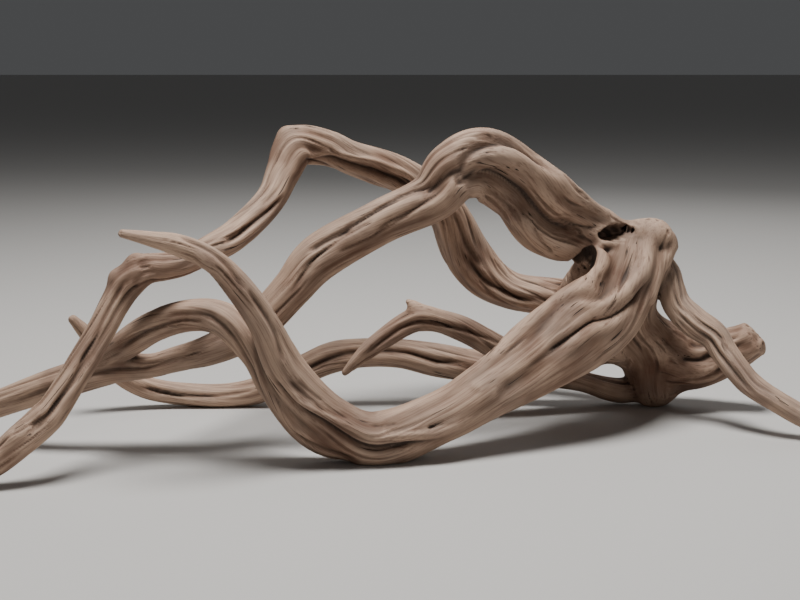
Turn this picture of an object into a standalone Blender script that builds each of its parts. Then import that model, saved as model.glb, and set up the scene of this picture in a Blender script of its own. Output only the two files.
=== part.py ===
"""Driftwood branch: a weathered root that lies on its bends, with a burl that every limb grows from.

The limbs are lofts: each has stations, listed from its fork to its tip, that give the middle of the
wood and its half width and half thickness there. Furrows run along a limb and turn slowly round it.
Neighbouring limbs meet at their forks with a hair-thin gap, so each one stays a solid of its own.

Stations are in millimetres, +X to the right, +Y to the back, +Z up. The floor is Z = 0.
"""

import math
from dataclasses import dataclass

import bmesh
import bpy
import numpy as np

MM = 0.001
FORK_GAP = 0.35  # mm that a limb keeps from the one it grows from
FLOOR = 0.0  # mm, the plane that the worn undersides lie in
CUTTER_FLOOR = -4.0  # mm, lower than any limb, so that a cutter passes through the worn undersides
SAMPLES_PER_SPAN = 24  # points worked out between two stations before the rings are spaced evenly
DOME_RINGS = 3  # rings that round off each end of a limb
FRONT = np.array((0.0, -1.0, 0.0))  # the side of every section that its angles are counted to

WOOD_COLOUR = (0.30, 0.205, 0.155, 1.0)
WOOD_ROUGHNESS = 0.72


@dataclass(frozen=True)
class Furrow:
    """A groove along the whole limb: its angle round the section and its depth, at even steps along it.

    Angle 0 is the section's upper edge on a limb that runs to the left, and 90 faces the front.
    Depth is a share of the section's own radius.
    """

    angles: tuple
    depths: tuple
    width: float = 16.0


@dataclass(frozen=True)
class Knob:
    """A lump, or a dent where its height is negative, centred on a place in millimetres."""

    place: tuple
    height: float
    size: float


@dataclass(frozen=True)
class Limb:
    """One limb: stations of (x, y, z, half width, half thickness), and what is cut out of it."""

    name: str
    stations: tuple
    furrows: tuple
    sides: int
    ring_step: float
    grows_from: tuple = ()
    end_bluntness: float = 1.0


KNOBS = (
    Knob((-195, -92, 143), 3.0, 6.0),
    Knob((-172, -84, 159), 2.5, 9.0),
    Knob((-258, -148, 44), 4.0, 8.0),
    Knob((-119, -118, 158), 2.5, 7.0),
    Knob((-78, 46, 246), 3.5, 9.0),
    Knob((29, 46, 97), 8.0, 7.0),
    Knob((238, 52, 164), 4.0, 8.0),
    Knob((252, 58, 145), 6.0, 9.0),
    Knob((198, 36, 162), -8.0, 9.0),
    Knob((329, 68, 84), 4.0, 8.0),
    Knob((336, 66, 60), 3.5, 9.0),
    Knob((334, 64, 73), -4.0, 5.0),
)

CROWN = Limb(
    name="crown",
    stations=(
        (228, 56, 153, 18, 17),
        (222, 59, 138, 27, 24),
        (212, 68, 107, 27, 28),
        (216, 78, 78, 24, 25),
        (229, 88, 51, 25, 25),
        (238, 94, 22, 24, 23),
    ),
    furrows=(
        Furrow((60, 70, 75, 70), (0.14, 0.20, 0.14, 0.08)),
        Furrow((125, 120, 115, 130), (0.17, 0.14, 0.20, 0.14)),
        Furrow((190, 200, 210, 200), (0.17, 0.22, 0.17, 0.11)),
        Furrow((250, 260, 265, 270), (0.14, 0.20, 0.20, 0.11)),
        Furrow((320, 315, 320, 330), (0.14, 0.20, 0.17, 0.11)),
    ),
    sides=18,
    ring_step=11.0,
)

FRONT_SWEEP = Limb(
    name="front_sweep",
    stations=(
        (215, 56, 143, 15, 12),
        (205, 38, 127, 31, 22),
        (183, 12, 104, 37, 25),
        (160, -6, 87, 35, 26),
        (132, -22, 71, 30, 25),
        (86, -46, 47, 23, 22),
        (50, -62, 33, 20, 20),
        (1, -76, 17, 23, 20),
        (-34, -84, 40, 16, 17),
        (-64, -90, 73, 15, 15),
        (-80, -96, 111, 12, 13),
        (-99, -104, 141, 10.5, 11),
        (-116, -110, 160, 8.5, 9),
        (-137, -114, 170, 8, 8),
        (-157, -117, 175, 5.5, 5.5),
        (-176, -120, 179, 3.2, 3.2),
    ),
    furrows=(
        Furrow((80, 56, 48, 50, 45, 40), (0.24, 0.30, 0.18, 0.08, 0.12, 0.08), 20),
        Furrow((140, 106, 100, 92, 85, 80), (0.15, 0.18, 0.15, 0.09, 0.12, 0.06), 11),
        Furrow((170, 140, 132, 126, 130, 130), (0.12, 0.12, 0.21, 0.21, 0.08, 0.08), 16),
        Furrow((215, 200, 190, 200, 200, 200), (0.15, 0.21, 0.15, 0.15, 0.12, 0.06), 16),
        Furrow((285, 270, 265, 260, 250, 250), (0.21, 0.27, 0.21, 0.15, 0.12, 0.06), 18),
        Furrow((340, 330, 320, 330, 320, 320), (0.12, 0.18, 0.18, 0.12, 0.12, 0.06), 14),
    ),
    sides=20,
    ring_step=14.0,
    grows_from=("crown",),
)

UPPER_ARCH = Limb(
    name="upper_arch",
    stations=(
        (205, 60, 146, 15, 13),
        (183, 48, 150, 29, 20),
        (160, 38, 158, 34, 22),
        (138, 29, 174, 34, 22),
        (113, 18, 202, 28, 22),
        (85, 6, 218, 29, 22),
        (62, 0, 212, 25, 21),
        (43, -4, 192, 20, 19),
        (3, -12, 174, 18, 18),
        (-42, -22, 149, 19, 18),
        (-64, -30, 125, 16, 16),
        (-85, -37, 103, 15, 15),
        (-105, -39, 89, 14, 14),
        (-130, -40, 78, 12, 13),
        (-155, -40, 71, 10, 11),
        (-175, -41, 66, 9.5, 11),
        (-205, -44, 65, 13, 12),
        (-245, -42, 53, 13, 12),
        (-295, -34, 34, 11, 11),
        (-337, -29, 18, 9.5, 9.5),
        (-374, -26, 5, 6, 6),
    ),
    furrows=(
        Furrow((96, 92, 84, 92, 90, 85, 80), (0.44, 0.44, 0.14, 0.14, 0.14, 0.11, 0.14), 17),
        Furrow((52, 42, 50, 58, 52, 50, 45), (0.11, 0.22, 0.17, 0.17, 0.14, 0.14, 0.08), 12),
        Furrow((135, 132, 120, 128, 130, 125, 120), (0.11, 0.14, 0.20, 0.14, 0.11, 0.11, 0.08), 14),
        Furrow((185, 190, 185, 180, 185, 180, 180), (0.14, 0.20, 0.17, 0.17, 0.11, 0.11, 0.08), 18),
        Furrow((250, 255, 250, 240, 250, 250, 250), (0.17, 0.22, 0.20, 0.17, 0.17, 0.14, 0.08), 18),
        Furrow((310, 320, 315, 310, 320, 310, 310), (0.14, 0.20, 0.20, 0.17, 0.14, 0.14, 0.08), 16),
    ),
    sides=18,
    ring_step=16.0,
    grows_from=("crown", "front_sweep"),
)

SIDE_STRAND = Limb(
    name="side_strand",
    stations=(
        (19, -72, 15, 9, 9),
        (-23, -77, 14, 12.5, 12),
        (-52, -78, 27, 12.5, 13),
        (-75, -76, 58, 12.5, 14),
        (-88, -74, 84, 13, 14),
        (-112, -72, 108, 13, 14),
        (-138, -68, 111, 12, 13),
        (-166, -62, 102, 12, 13),
        (-191, -54, 85, 11.5, 11),
        (-212, -46, 68, 7, 7),
    ),
    furrows=(
        Furrow((80, 95, 100, 90, 80), (0.09, 0.15, 0.15, 0.21, 0.08), 12),
        Furrow((150, 150, 140, 130, 130), (0.09, 0.18, 0.15, 0.15, 0.08), 16),
        Furrow((230, 240, 230, 230, 230), (0.09, 0.18, 0.21, 0.18, 0.08), 18),
        Furrow((320, 330, 320, 310, 310), (0.09, 0.15, 0.18, 0.15, 0.08), 18),
    ),
    sides=14,
    ring_step=12.0,
    grows_from=("front_sweep", "upper_arch"),
)

BACK_ARCH = Limb(
    name="back_arch",
    stations=(
        (205, 84, 104, 10, 10),
        (186, 106, 94, 18, 17),
        (170, 116, 91, 18, 18),
        (145, 128, 92, 17, 18),
        (118, 134, 96, 17, 18),
        (95, 135, 110, 20.5, 18),
        (77, 132, 133, 21.5, 18),
        (62, 122, 165, 18, 17),
        (45, 112, 183, 17, 16),
        (23, 99, 200, 16, 15),
        (2, 86, 210, 16, 15),
        (-23, 74, 219, 14, 14),
        (-43, 64, 228, 15, 14),
        (-66, 50, 229, 17, 15),
        (-76, 38, 210, 14, 14),
        (-83, 24, 193, 12, 13),
        (-94, 6, 179, 12, 12),
        (-110, -18, 165, 12, 12),
        (-126, -40, 157, 11, 11),
        (-143, -58, 150, 10, 10.5),
        (-156, -68, 148, 10.5, 10.5),
        (-169, -76, 147, 11.5, 11),
        (-181, -80, 139, 12.5, 12),
        (-190, -86, 124, 11, 11),
        (-203, -98, 98, 10.5, 10.5),
        (-226, -120, 58, 11, 11),
        (-237, -128, 45, 12, 11),
        (-264, -139, 22, 11, 10.5),
        (-279, -143, 12, 9, 9.5),
        (-292, -146, 4, 6, 7),
    ),
    furrows=(
        Furrow((90, 95, 105, 110, 90, 100, 95, 90), (0.15, 0.18, 0.15, 0.24, 0.24, 0.15, 0.18, 0.09), 14),
        Furrow((40, 45, 50, 55, 40, 50, 45, 45), (0.12, 0.15, 0.15, 0.12, 0.12, 0.18, 0.15, 0.09), 14),
        Furrow((150, 150, 150, 155, 150, 150, 150, 150), (0.12, 0.18, 0.18, 0.15, 0.15, 0.18, 0.15, 0.09), 18),
        Furrow((215, 220, 210, 210, 220, 210, 210, 210), (0.15, 0.18, 0.21, 0.18, 0.15, 0.15, 0.15, 0.09), 18),
        Furrow((285, 280, 290, 280, 280, 290, 280, 280), (0.15, 0.21, 0.21, 0.18, 0.18, 0.18, 0.15, 0.09), 18),
    ),
    sides=13,
    ring_step=14.5,
    grows_from=("crown",),
)

LOW_RUNNER = Limb(
    name="low_runner",
    stations=(
        (237, 94, 20, 10, 10),
        (219, 96, 13, 11.5, 12),
        (203, 97, 14, 10.5, 12),
        (178, 97, 21, 9, 11),
        (143, 98, 27, 11.5, 12),
        (107, 99, 31, 15, 14),
        (76, 99, 35, 15, 14),
        (49, 98, 40, 15, 14),
        (19, 96, 46, 13, 13),
        (-11, 94, 47, 13, 13),
        (-38, 92, 44, 14, 13),
        (-59, 91, 36, 13, 13),
        (-82, 91, 25, 12, 12),
        (-109, 91, 13, 11.5, 12),
        (-139, 90, 9, 10.5, 12),
        (-174, 87, 12, 10, 10),
        (-203, 82, 19, 10, 9),
        (-225, 74, 34, 9, 8.5),
        (-239, 66, 56, 7.5, 7.5),
        (-249, 60, 73, 5.5, 5.5),
        (-257, 56, 84, 3, 3),
    ),
    furrows=(
        Furrow((90, 85, 80, 95, 95, 90), (0.12, 0.21, 0.18, 0.24, 0.21, 0.08), 13),
        Furrow((30, 40, 35, 40, 30, 30), (0.09, 0.15, 0.18, 0.12, 0.12, 0.06), 15),
        Furrow((145, 140, 150, 140, 150, 150), (0.09, 0.15, 0.18, 0.15, 0.12, 0.06), 18),
        Furrow((215, 220, 210, 220, 210, 210), (0.12, 0.18, 0.18, 0.15, 0.15, 0.06), 18),
        Furrow((290, 280, 290, 290, 280, 280), (0.12, 0.18, 0.21, 0.18, 0.15, 0.06), 18),
    ),
    sides=13,
    ring_step=14.5,
    grows_from=("crown",),
)

SPUR = Limb(
    name="spur",
    stations=(
        (210, 82, 61, 9, 9),
        (192, 80, 53, 13, 13),
        (173, 78, 47, 13, 13),
        (153, 74, 42, 13, 13),
        (130, 66, 45, 13, 12),
        (108, 60, 55, 12, 12),
        (91, 55, 66, 11, 11),
        (71, 51, 77, 11, 11),
        (53, 48, 84, 10, 10),
        (37, 46, 87, 11, 10.5),
        (25, 45, 83, 10, 10),
        (9, 43, 73, 9, 9),
        (-6, 42, 62, 7.5, 7.5),
        (-17, 41, 52, 5.5, 5.5),
        (-27, 40, 42, 3, 3),
    ),
    furrows=(
        Furrow((90, 95, 100, 95, 90), (0.12, 0.18, 0.18, 0.24, 0.08), 13),
        Furrow((30, 35, 40, 35, 30), (0.09, 0.15, 0.15, 0.15, 0.06), 16),
        Furrow((210, 215, 220, 215, 210), (0.09, 0.18, 0.21, 0.18, 0.06), 18),
        Furrow((290, 285, 290, 285, 290), (0.09, 0.18, 0.18, 0.15, 0.06), 18),
    ),
    sides=12,
    ring_step=11.0,
    grows_from=("crown",),
)

STUMP = Limb(
    name="stump",
    stations=(
        (230, 92, 39, 14, 13),
        (250, 92, 42, 30, 25),
        (268, 90, 41, 27, 25),
        (283, 86, 43, 24.5, 24),
        (303, 80, 52, 21, 20),
        (314, 76, 58, 18, 18),
        (322, 73, 64, 16, 16),
    ),
    furrows=(
        Furrow((275, 270, 265, 262), (0.09, 0.21, 0.21, 0.30), 13),
        Furrow((230, 235, 232, 225), (0.09, 0.18, 0.18, 0.21), 13),
        Furrow((310, 315, 312, 305), (0.09, 0.15, 0.21, 0.18), 14),
        Furrow((30, 35, 40, 40), (0.09, 0.18, 0.21, 0.24), 18),
        Furrow((95, 100, 95, 100), (0.12, 0.21, 0.24, 0.24), 18),
        Furrow((165, 160, 170, 165), (0.09, 0.18, 0.18, 0.21), 18),
    ),
    sides=18,
    ring_step=11.0,
    grows_from=("crown",),
    end_bluntness=0.35,
)

RIGHT_LEG = Limb(
    name="right_leg",
    stations=(
        (231, 62, 137, 6, 6),
        (244, 61, 126, 9.5, 9),
        (247, 54, 111, 11, 11),
        (251, 48, 98, 12, 11),
        (263, 40, 86, 13, 12),
        (278, 32, 76, 12, 12),
        (286, 24, 63, 11, 11),
        (295, 14, 50, 10.5, 10.5),
        (305, 6, 39, 10, 10),
        (321, -6, 30, 9.5, 9.5),
        (339, -14, 20, 9, 9),
        (357, -22, 12, 8, 8.5),
        (376, -27, 5, 5, 6),
    ),
    furrows=(
        Furrow((270, 275, 265, 260, 270), (0.15, 0.18, 0.24, 0.18, 0.08), 14),
        Furrow((225, 220, 215, 220, 225), (0.12, 0.15, 0.18, 0.15, 0.06), 14),
        Furrow((330, 320, 315, 320, 325), (0.12, 0.18, 0.18, 0.15, 0.06), 16),
        Furrow((60, 55, 60, 55, 60), (0.12, 0.18, 0.18, 0.15, 0.06), 18),
        Furrow((140, 135, 140, 135, 140), (0.12, 0.18, 0.18, 0.15, 0.06), 18),
    ),
    sides=12,
    ring_step=11.0,
    grows_from=("crown",),
)

LIMBS = (
    CROWN,
    FRONT_SWEEP,
    UPPER_ARCH,
    SIDE_STRAND,
    BACK_ARCH,
    LOW_RUNNER,
    SPUR,
    STUMP,
    RIGHT_LEG,
)


def clear_scene():
    for obj in list(bpy.data.objects):
        bpy.data.objects.remove(obj)


def new_collection(name):
    collection = bpy.data.collections.new(name)
    bpy.context.scene.collection.children.link(collection)
    return collection


def wood_material(name):
    material = bpy.data.materials.new(name)
    material.use_nodes = True
    shader = material.node_tree.nodes["Principled BSDF"]
    shader.inputs["Base Color"].default_value = WOOD_COLOUR
    shader.inputs["Roughness"].default_value = WOOD_ROUGHNESS
    shader.inputs["Metallic"].default_value = 0.0
    return material


def catmull_rom(before, start, end, after, share):
    """A point of the smooth curve between two stations, with the stations on either side of them."""
    return 0.5 * (
        2 * start
        + (end - before) * share
        + (2 * before - 5 * start + 4 * end - after) * share**2
        + (3 * start - before - 3 * end + after) * share**3
    )


def even_stations(limb):
    """The limb's stations, smoothed and spaced evenly along it, with the share of its length at each."""
    given = np.array(limb.stations, float)
    padded = np.vstack([2 * given[0] - given[1], given, 2 * given[-1] - given[-2]])
    curve = [
        catmull_rom(*padded[span : span + 4], step / SAMPLES_PER_SPAN)
        for span in range(len(given) - 1)
        for step in range(SAMPLES_PER_SPAN)
    ]
    curve = np.array(curve + [given[-1]])
    lengths = np.linalg.norm(np.diff(curve[:, :3], axis=0), axis=1)
    along = np.concatenate([[0.0], np.cumsum(lengths)])
    count = max(4, round(along[-1] / limb.ring_step) + 1)
    wanted = np.linspace(0.0, along[-1], count)
    rows = np.column_stack([np.interp(wanted, along, curve[:, column]) for column in range(5)])
    return rows, wanted / along[-1]


def section_axes(middles):
    """The direction of the limb at each ring, and the two axes that its section lies in."""
    ahead = np.gradient(middles, axis=0)
    ahead /= np.linalg.norm(ahead, axis=1)[:, None]
    front = FRONT - ahead * (ahead @ FRONT)[:, None]
    front /= np.linalg.norm(front, axis=1)[:, None]
    return ahead, np.cross(ahead, front), front


def knob_height(points):
    """How far the lumps and dents push each point outwards, in millimetres."""
    total = np.zeros(len(points))
    for knob in KNOBS:
        away = np.linalg.norm(points - np.array(knob.place, float), axis=1)
        total += knob.height * np.exp(-((away / knob.size) ** 2))
    return total


def furrow_share(limb, share, angles):
    """The part of the section's radius that the furrows take away at each angle, in degrees."""
    taken = np.zeros(len(angles))
    for furrow in limb.furrows:
        knots = np.linspace(0.0, 1.0, len(furrow.angles))
        middle = np.interp(share, knots, furrow.angles)
        depth = np.interp(share, knots, furrow.depths)
        apart = (angles - middle + 180.0) % 360.0 - 180.0
        taken += depth * np.exp(-((apart / furrow.width) ** 2))
    return taken


def ring_angles(limb, share):
    """The angle of each point of a ring, in degrees, so that a line of points runs along every furrow."""
    bottoms = []
    for furrow in limb.furrows:
        knots = np.linspace(0.0, 1.0, len(furrow.angles))
        index = round(float(np.mean(furrow.angles)) * limb.sides / 360.0)
        bottoms.append((index, np.interp(share, knots, furrow.angles)))
    bottoms.sort()
    indices = [bottoms[-1][0] - limb.sides, *(index for index, _ in bottoms), bottoms[0][0] + limb.sides]
    angles = [bottoms[-1][1] - 360.0, *(angle for _, angle in bottoms), bottoms[0][1] + 360.0]
    return np.interp(np.arange(limb.sides), indices, angles)


def ring_points(limb, row, share, axes, shrink=1.0, shift=0.0, grow=0.0):
    """One ring of the limb's skin, pushed ahead by shift and drawn in by shrink where it rounds an end."""
    ahead, up, front = axes
    angles = ring_angles(limb, share)
    turn = np.radians(angles)
    radius = (1.0 - furrow_share(limb, share, angles)) * shrink
    width = (row[3] * radius + grow) * np.cos(turn)
    thickness = (row[4] * radius + grow) * np.sin(turn)
    outward = width[:, None] * up + thickness[:, None] * front
    points = row[:3] + shift * ahead + outward
    reach = np.linalg.norm(outward, axis=1)[:, None]
    return points + outward / reach * knob_height(points)[:, None]


def limb_rings(limb, grow):
    """Every ring of the limb, with the rings that round off its two ends, and the two end points."""
    rows, shares = even_stations(limb)
    ahead, up, front = section_axes(rows[:, :3])
    rings = []
    for index, (row, share) in enumerate(zip(rows, shares)):
        rings.append(ring_points(limb, row, share, (ahead[index], up[index], front[index]), grow=grow))
    ends = []
    for index, way, blunt in ((0, -1.0, 1.0), (-1, 1.0, limb.end_bluntness)):
        row, share = rows[index], shares[index]
        axes = (ahead[index], up[index], front[index])
        reach = way * blunt * 0.5 * (row[3] + row[4])
        dome = []
        for step in range(1, DOME_RINGS + 1):
            turn = 0.5 * math.pi * step / (DOME_RINGS + 1)
            shrink, shift = math.cos(turn), reach * math.sin(turn)
            dome.append(ring_points(limb, row, share, axes, shrink, shift, grow))
        ends.append(row[:3] + (reach + way * grow) * ahead[index])
        rings = dome[::-1] + rings if way < 0 else rings + dome
    return rings, ends


def loft_mesh(name, rings, ends, floor):
    """A closed mesh through the rings, with its underside worn flat where it would pass the floor."""
    sides = len(rings[0])
    points = np.vstack([*rings, *[end[None] for end in ends]])
    points[:, 2] = np.maximum(points[:, 2], floor)
    first_pole = sides * len(rings)
    faces = []
    for ring in range(len(rings) - 1):
        for side in range(sides):
            after = (side + 1) % sides
            low, high = ring * sides, (ring + 1) * sides
            faces.append((low + side, low + after, high + after, high + side))
    last = first_pole - sides
    for side in range(sides):
        after = (side + 1) % sides
        faces.append((after, side, first_pole))
        faces.append((last + side, last + after, first_pole + 1))
    mesh = bpy.data.meshes.new(name)
    mesh.from_pydata((points * MM).tolist(), [], faces)
    work = bmesh.new()
    work.from_mesh(mesh)
    bmesh.ops.triangulate(work, faces=work.faces[:])
    bmesh.ops.recalc_face_normals(work, faces=work.faces[:])
    work.to_mesh(mesh)
    work.free()
    return mesh


def limb_object(limb, collection):
    rings, ends = limb_rings(limb, grow=0.0)
    obj = bpy.data.objects.new(limb.name, loft_mesh(limb.name, rings, ends, FLOOR))
    obj.data.materials.append(wood_material(limb.name + "_wood"))
    collection.objects.link(obj)
    return obj


def fork_cutter(limb, collection):
    """The limb a little fatter, which cuts the limbs that grow from it."""
    rings, ends = limb_rings(limb, grow=FORK_GAP)
    name = limb.name + "_cutter"
    cutter = bpy.data.objects.new(name, loft_mesh(name, rings, ends, CUTTER_FLOOR))
    cutter.hide_render = True
    cutter.display_type = "WIRE"
    collection.objects.link(cutter)
    return cutter


def cut_at_forks(obj, cutters):
    """Cuts the limb off where it enters those it grows from, and keeps its one large body."""
    for cutter in cutters:
        fork = obj.modifiers.new("fork_with_" + cutter.name, "BOOLEAN")
        fork.operation = "DIFFERENCE"
        fork.solver = "EXACT"
        fork.object = cutter
    bpy.context.view_layer.update()
    graph = bpy.context.evaluated_depsgraph_get()
    cut = bpy.data.meshes.new_from_object(obj.evaluated_get(graph))
    obj.modifiers.clear()
    obj.data = cut
    keep_largest_body(cut)


def keep_largest_body(mesh):
    work = bmesh.new()
    work.from_mesh(mesh)
    unseen = set(work.verts)
    bodies = []
    while unseen:
        body, edge_of_search = set(), [unseen.pop()]
        while edge_of_search:
            vertex = edge_of_search.pop()
            body.add(vertex)
            near = {link.other_vert(vertex) for link in vertex.link_edges} & unseen
            unseen -= near
            edge_of_search.extend(near)
        bodies.append(body)
    largest = max(bodies, key=len)
    bmesh.ops.delete(work, geom=[v for v in work.verts if v not in largest], context="VERTS")
    work.to_mesh(mesh)
    work.free()


def main():
    clear_scene()
    branch = new_collection("driftwood_branch")
    helpers = new_collection("fork_cutters")
    limbs = {limb.name: limb for limb in LIMBS}
    named_forks = {parent for limb in LIMBS for parent in limb.grows_from}
    cutters = {name: fork_cutter(limbs[name], helpers) for name in sorted(named_forks)}
    for limb in LIMBS:
        obj = limb_object(limb, branch)
        if limb.grows_from:
            cut_at_forks(obj, [cutters[name] for name in limb.grows_from])
        obj.data.shade_smooth()
        obj.data.set_sharp_from_angle(angle=math.radians(50))


main()
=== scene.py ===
"""Driftwood branch: a weathered root that rests on its bends, dressed and lit.

Every limb is a path of stations with half widths and half thicknesses, furrowed along its length and
creased where the real root is folded. The limbs are grown together in one volume, so the wood flows
through every fork. The skin of that volume is carved with long grain by Geometry Nodes and then parted
at the forks, one closed piece for each solid of the frame.

Lengths are in millimetres until a mesh is written, +X to the right, +Y to the back, +Z up, the floor at 0.
"""

import logging
import math
from dataclasses import dataclass, field
from enum import Enum
from functools import partial

import bmesh
import bpy
import numpy as np
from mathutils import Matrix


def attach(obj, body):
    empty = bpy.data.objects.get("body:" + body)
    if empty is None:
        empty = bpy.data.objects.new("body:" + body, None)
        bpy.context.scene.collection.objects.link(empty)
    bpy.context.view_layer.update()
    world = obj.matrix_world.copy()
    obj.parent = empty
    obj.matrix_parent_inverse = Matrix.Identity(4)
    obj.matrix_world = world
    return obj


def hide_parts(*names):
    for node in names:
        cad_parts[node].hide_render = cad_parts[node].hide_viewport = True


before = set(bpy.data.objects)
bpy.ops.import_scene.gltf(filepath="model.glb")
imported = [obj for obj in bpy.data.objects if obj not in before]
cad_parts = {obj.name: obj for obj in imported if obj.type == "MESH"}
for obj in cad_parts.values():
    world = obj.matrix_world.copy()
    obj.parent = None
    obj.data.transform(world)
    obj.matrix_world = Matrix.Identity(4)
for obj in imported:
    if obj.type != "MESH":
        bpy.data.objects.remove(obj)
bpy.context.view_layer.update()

import openvdb
from mathutils import Vector

MM = 0.001
VOXEL = 1.15  # mm between the samples of the volume
BAND = 10.0  # mm on either side of the skin in which the volume is worked out exactly
DEEPEST = 24.0  # mm, deeper under a limb's plain oval than any furrow and crease together reach
THIN_BAND = 3.0  # mm of distance kept on either side of the skin when it is meshed
PATH_STEP = 3.0  # mm between the points of a centreline
FOLD_REACH = 5.0  # mm over a limb's plain oval to which its creases cut at full depth
FURROWS_LEFT = 0.55  # share of each furrow's depth that the wear has left
PLACE_PASSES = 3  # times that a point's place on a path is bettered
SAMPLES_PER_SPAN = 24  # points worked out between two stations before the path is spaced evenly
FRONT = np.array((0.0, -1.0, 0.0))  # the side of every section that its angles are counted to
SECTION_BLEND = 2.5  # mm over which the grain of one limb gives way to the grain of its neighbour
FINE_PASSES = 5  # averaging passes that find the hair-width valleys of the skin
HOLLOW_SHADE_SPREAD = 2.5  # mm outside a hollow over which its painted shade fades out
BROAD_PASSES = 80  # averaging passes that find the folds between its ridges
SMOOTHING = 0.6  # share of each point's place that one averaging pass takes from its neighbours
FINE_RELIEF = 0.45  # mm that a fully worn fibre stands out
BROAD_RELIEF = 1.8  # mm that a fully worn ridge stands out
FOLD_SHADE_RATE = 0.7  # how fast the painted shade in a fold deepens with the fold's depth
FOLD_SHADE_SPARED = 0.15  # painted shade taken off again, so that shallow folds stay unshaded
STRAY_PASSES = 40  # times that a patch of faces cut off from its limb can give up its edge
SHARP_FALL = 1.2  # how steeply the sides of a sharp fold run down
RIB_LEAN = np.array((1.0, 0.4, 0.7))  # the direction across the ribs of a hollow's wall
HOLLOW_MARGIN = 2.0  # mm round a hollow and its lip that are worked out too
AIR_BELOW = 2.5  # samples of air under the floor
GRAIN_RADIUS = 16.0  # mm, the radius of the limbs whose grain has its own size
GRAIN_SPREAD = 0.55  # how strongly the grain grows finer on thinner limbs, 1 for in step with them
GRAIN_APART = 300.0  # mm between the grain coordinates of one limb and the next
LONGEST_SLIDE = (-1.5, 1.501)  # path steps that a point's place may slide back and on at once
SHORTEST_SPAN = 0.3  # of a path step, the least length that a bent span is taken to have
POINTS_AT_ONCE = 20000  # points whose nearest place is looked up together
FAR = 1e3  # mm, further than anything in the volume
WEIGHTLESS = 40.0  # mm past the nearest limb at which another's grain has no weight left
ROUNDING = 1e-5  # keeps a length that is divided by from being nothing
PATCH_DETAIL = 3.0  # finer octaves in the patches across the branch
NOISE_ROUGHNESS = 0.55  # how strong each finer octave of a noise is
GREYED_SHIFT = 4.0  # m by which the greyed patches' pattern is moved
CRACKED_SHIFT = 9.0  # m by which the cracked patches' pattern is moved
MATH = "ShaderNodeMath"
VECTOR_MATH = "ShaderNodeVectorMath"
MAP_RANGE = "ShaderNodeMapRange"
NOISE = "ShaderNodeTexNoise"
SEPARATE = "ShaderNodeSeparateXYZ"
ATTRIBUTE = "ShaderNodeAttribute"
NAMED_ATTRIBUTE = "GeometryNodeInputNamedAttribute"
WEIGHTS = "grain_weights"

Span = tuple[float, ...]


class Grain(Enum):
    """The set of grain coordinates that a limb writes to. Limbs that touch have different ones."""

    FIRST = 0
    SECOND = 1
    THIRD = 2

    @property
    def attribute(self) -> str:
        """The name of the mesh attribute that holds the coordinates."""
        return ("grain_first", "grain_second", "grain_third")[self.value]


class Profile(Enum):
    """How the sides of a fold run down to its bottom."""

    SOFT = "soft"
    SHARP = "sharp"


def turn_between(angle: np.ndarray, middle: np.ndarray) -> np.ndarray:
    """The signed turn from one angle to another.

    Args:
        angle: Angles in degrees.
        middle: The angles that they are counted from, in degrees.

    Returns:
        Degrees from -180 to 180.
    """
    return (angle - middle + 180.0) % 360.0 - 180.0


@dataclass(frozen=True)
class Furrow:
    """A groove along a whole limb: its angle round the section and its depth, at even steps along it."""

    angles: Span
    depths: Span
    width: float = 16.0

    def share_taken(self, share: np.ndarray, angle: np.ndarray) -> np.ndarray:
        """How much of the section's radius the furrow takes away.

        Args:
            share: How far along the limb each point is, from 0 to 1.
            angle: The angle of each point round the section, in degrees.

        Returns:
            The share of the radius that is missing at each point.
        """
        knots = np.linspace(0.0, 1.0, len(self.angles))
        middle = np.interp(share, knots, self.angles)
        depth = np.interp(share, knots, self.depths)
        return depth * np.exp(-((turn_between(angle, middle) / self.width) ** 2))


@dataclass(frozen=True)
class Fold:
    """A crease along part of a limb, or a raised ridge where its depth is negative.

    The path is pairs of share along the limb and angle round it. Depth and half width are in millimetres.
    """

    path: tuple[tuple[float, float], ...]
    depth: float
    width: float
    profile: Profile = Profile.SOFT
    fade: float = 0.22

    def depth_at(self, share: np.ndarray, angle: np.ndarray, radius: np.ndarray) -> np.ndarray:
        """How deep the fold cuts at each point.

        Args:
            share: How far along the limb each point is, from 0 to 1.
            angle: The angle of each point round the section, in degrees.
            radius: The radius of the section towards each point.

        Returns:
            The depth of the crease at each point.
        """
        shares = np.array([place[0] for place in self.path])
        angles = np.array([place[1] for place in self.path])
        middle = np.interp(share, shares, angles)
        along = (share - shares[0]) / (shares[-1] - shares[0])
        ease = np.clip(np.minimum(along, 1.0 - along) / self.fade, 0.0, 1.0)
        apart = np.abs(np.radians(turn_between(angle, middle)) * radius / self.width)
        across = np.exp(-(apart**2)) if self.profile is Profile.SOFT else np.exp(-SHARP_FALL * apart)
        return self.depth * ease * ease * (3.0 - 2.0 * ease) * across


@dataclass(frozen=True)
class Knob:
    """A lump, or a dent where its height is negative, centred on a place in millimetres."""

    place: Span
    height: float
    size: float

    def height_at(self, points: np.ndarray) -> np.ndarray:
        """How far the lump stands out at each point.

        Args:
            points: Places in millimetres, one to a row.

        Returns:
            The height at each point.
        """
        away = points - np.array(self.place, np.float32)
        return self.height * np.exp(-(away * away).sum(axis=1) / self.size**2)


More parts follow.
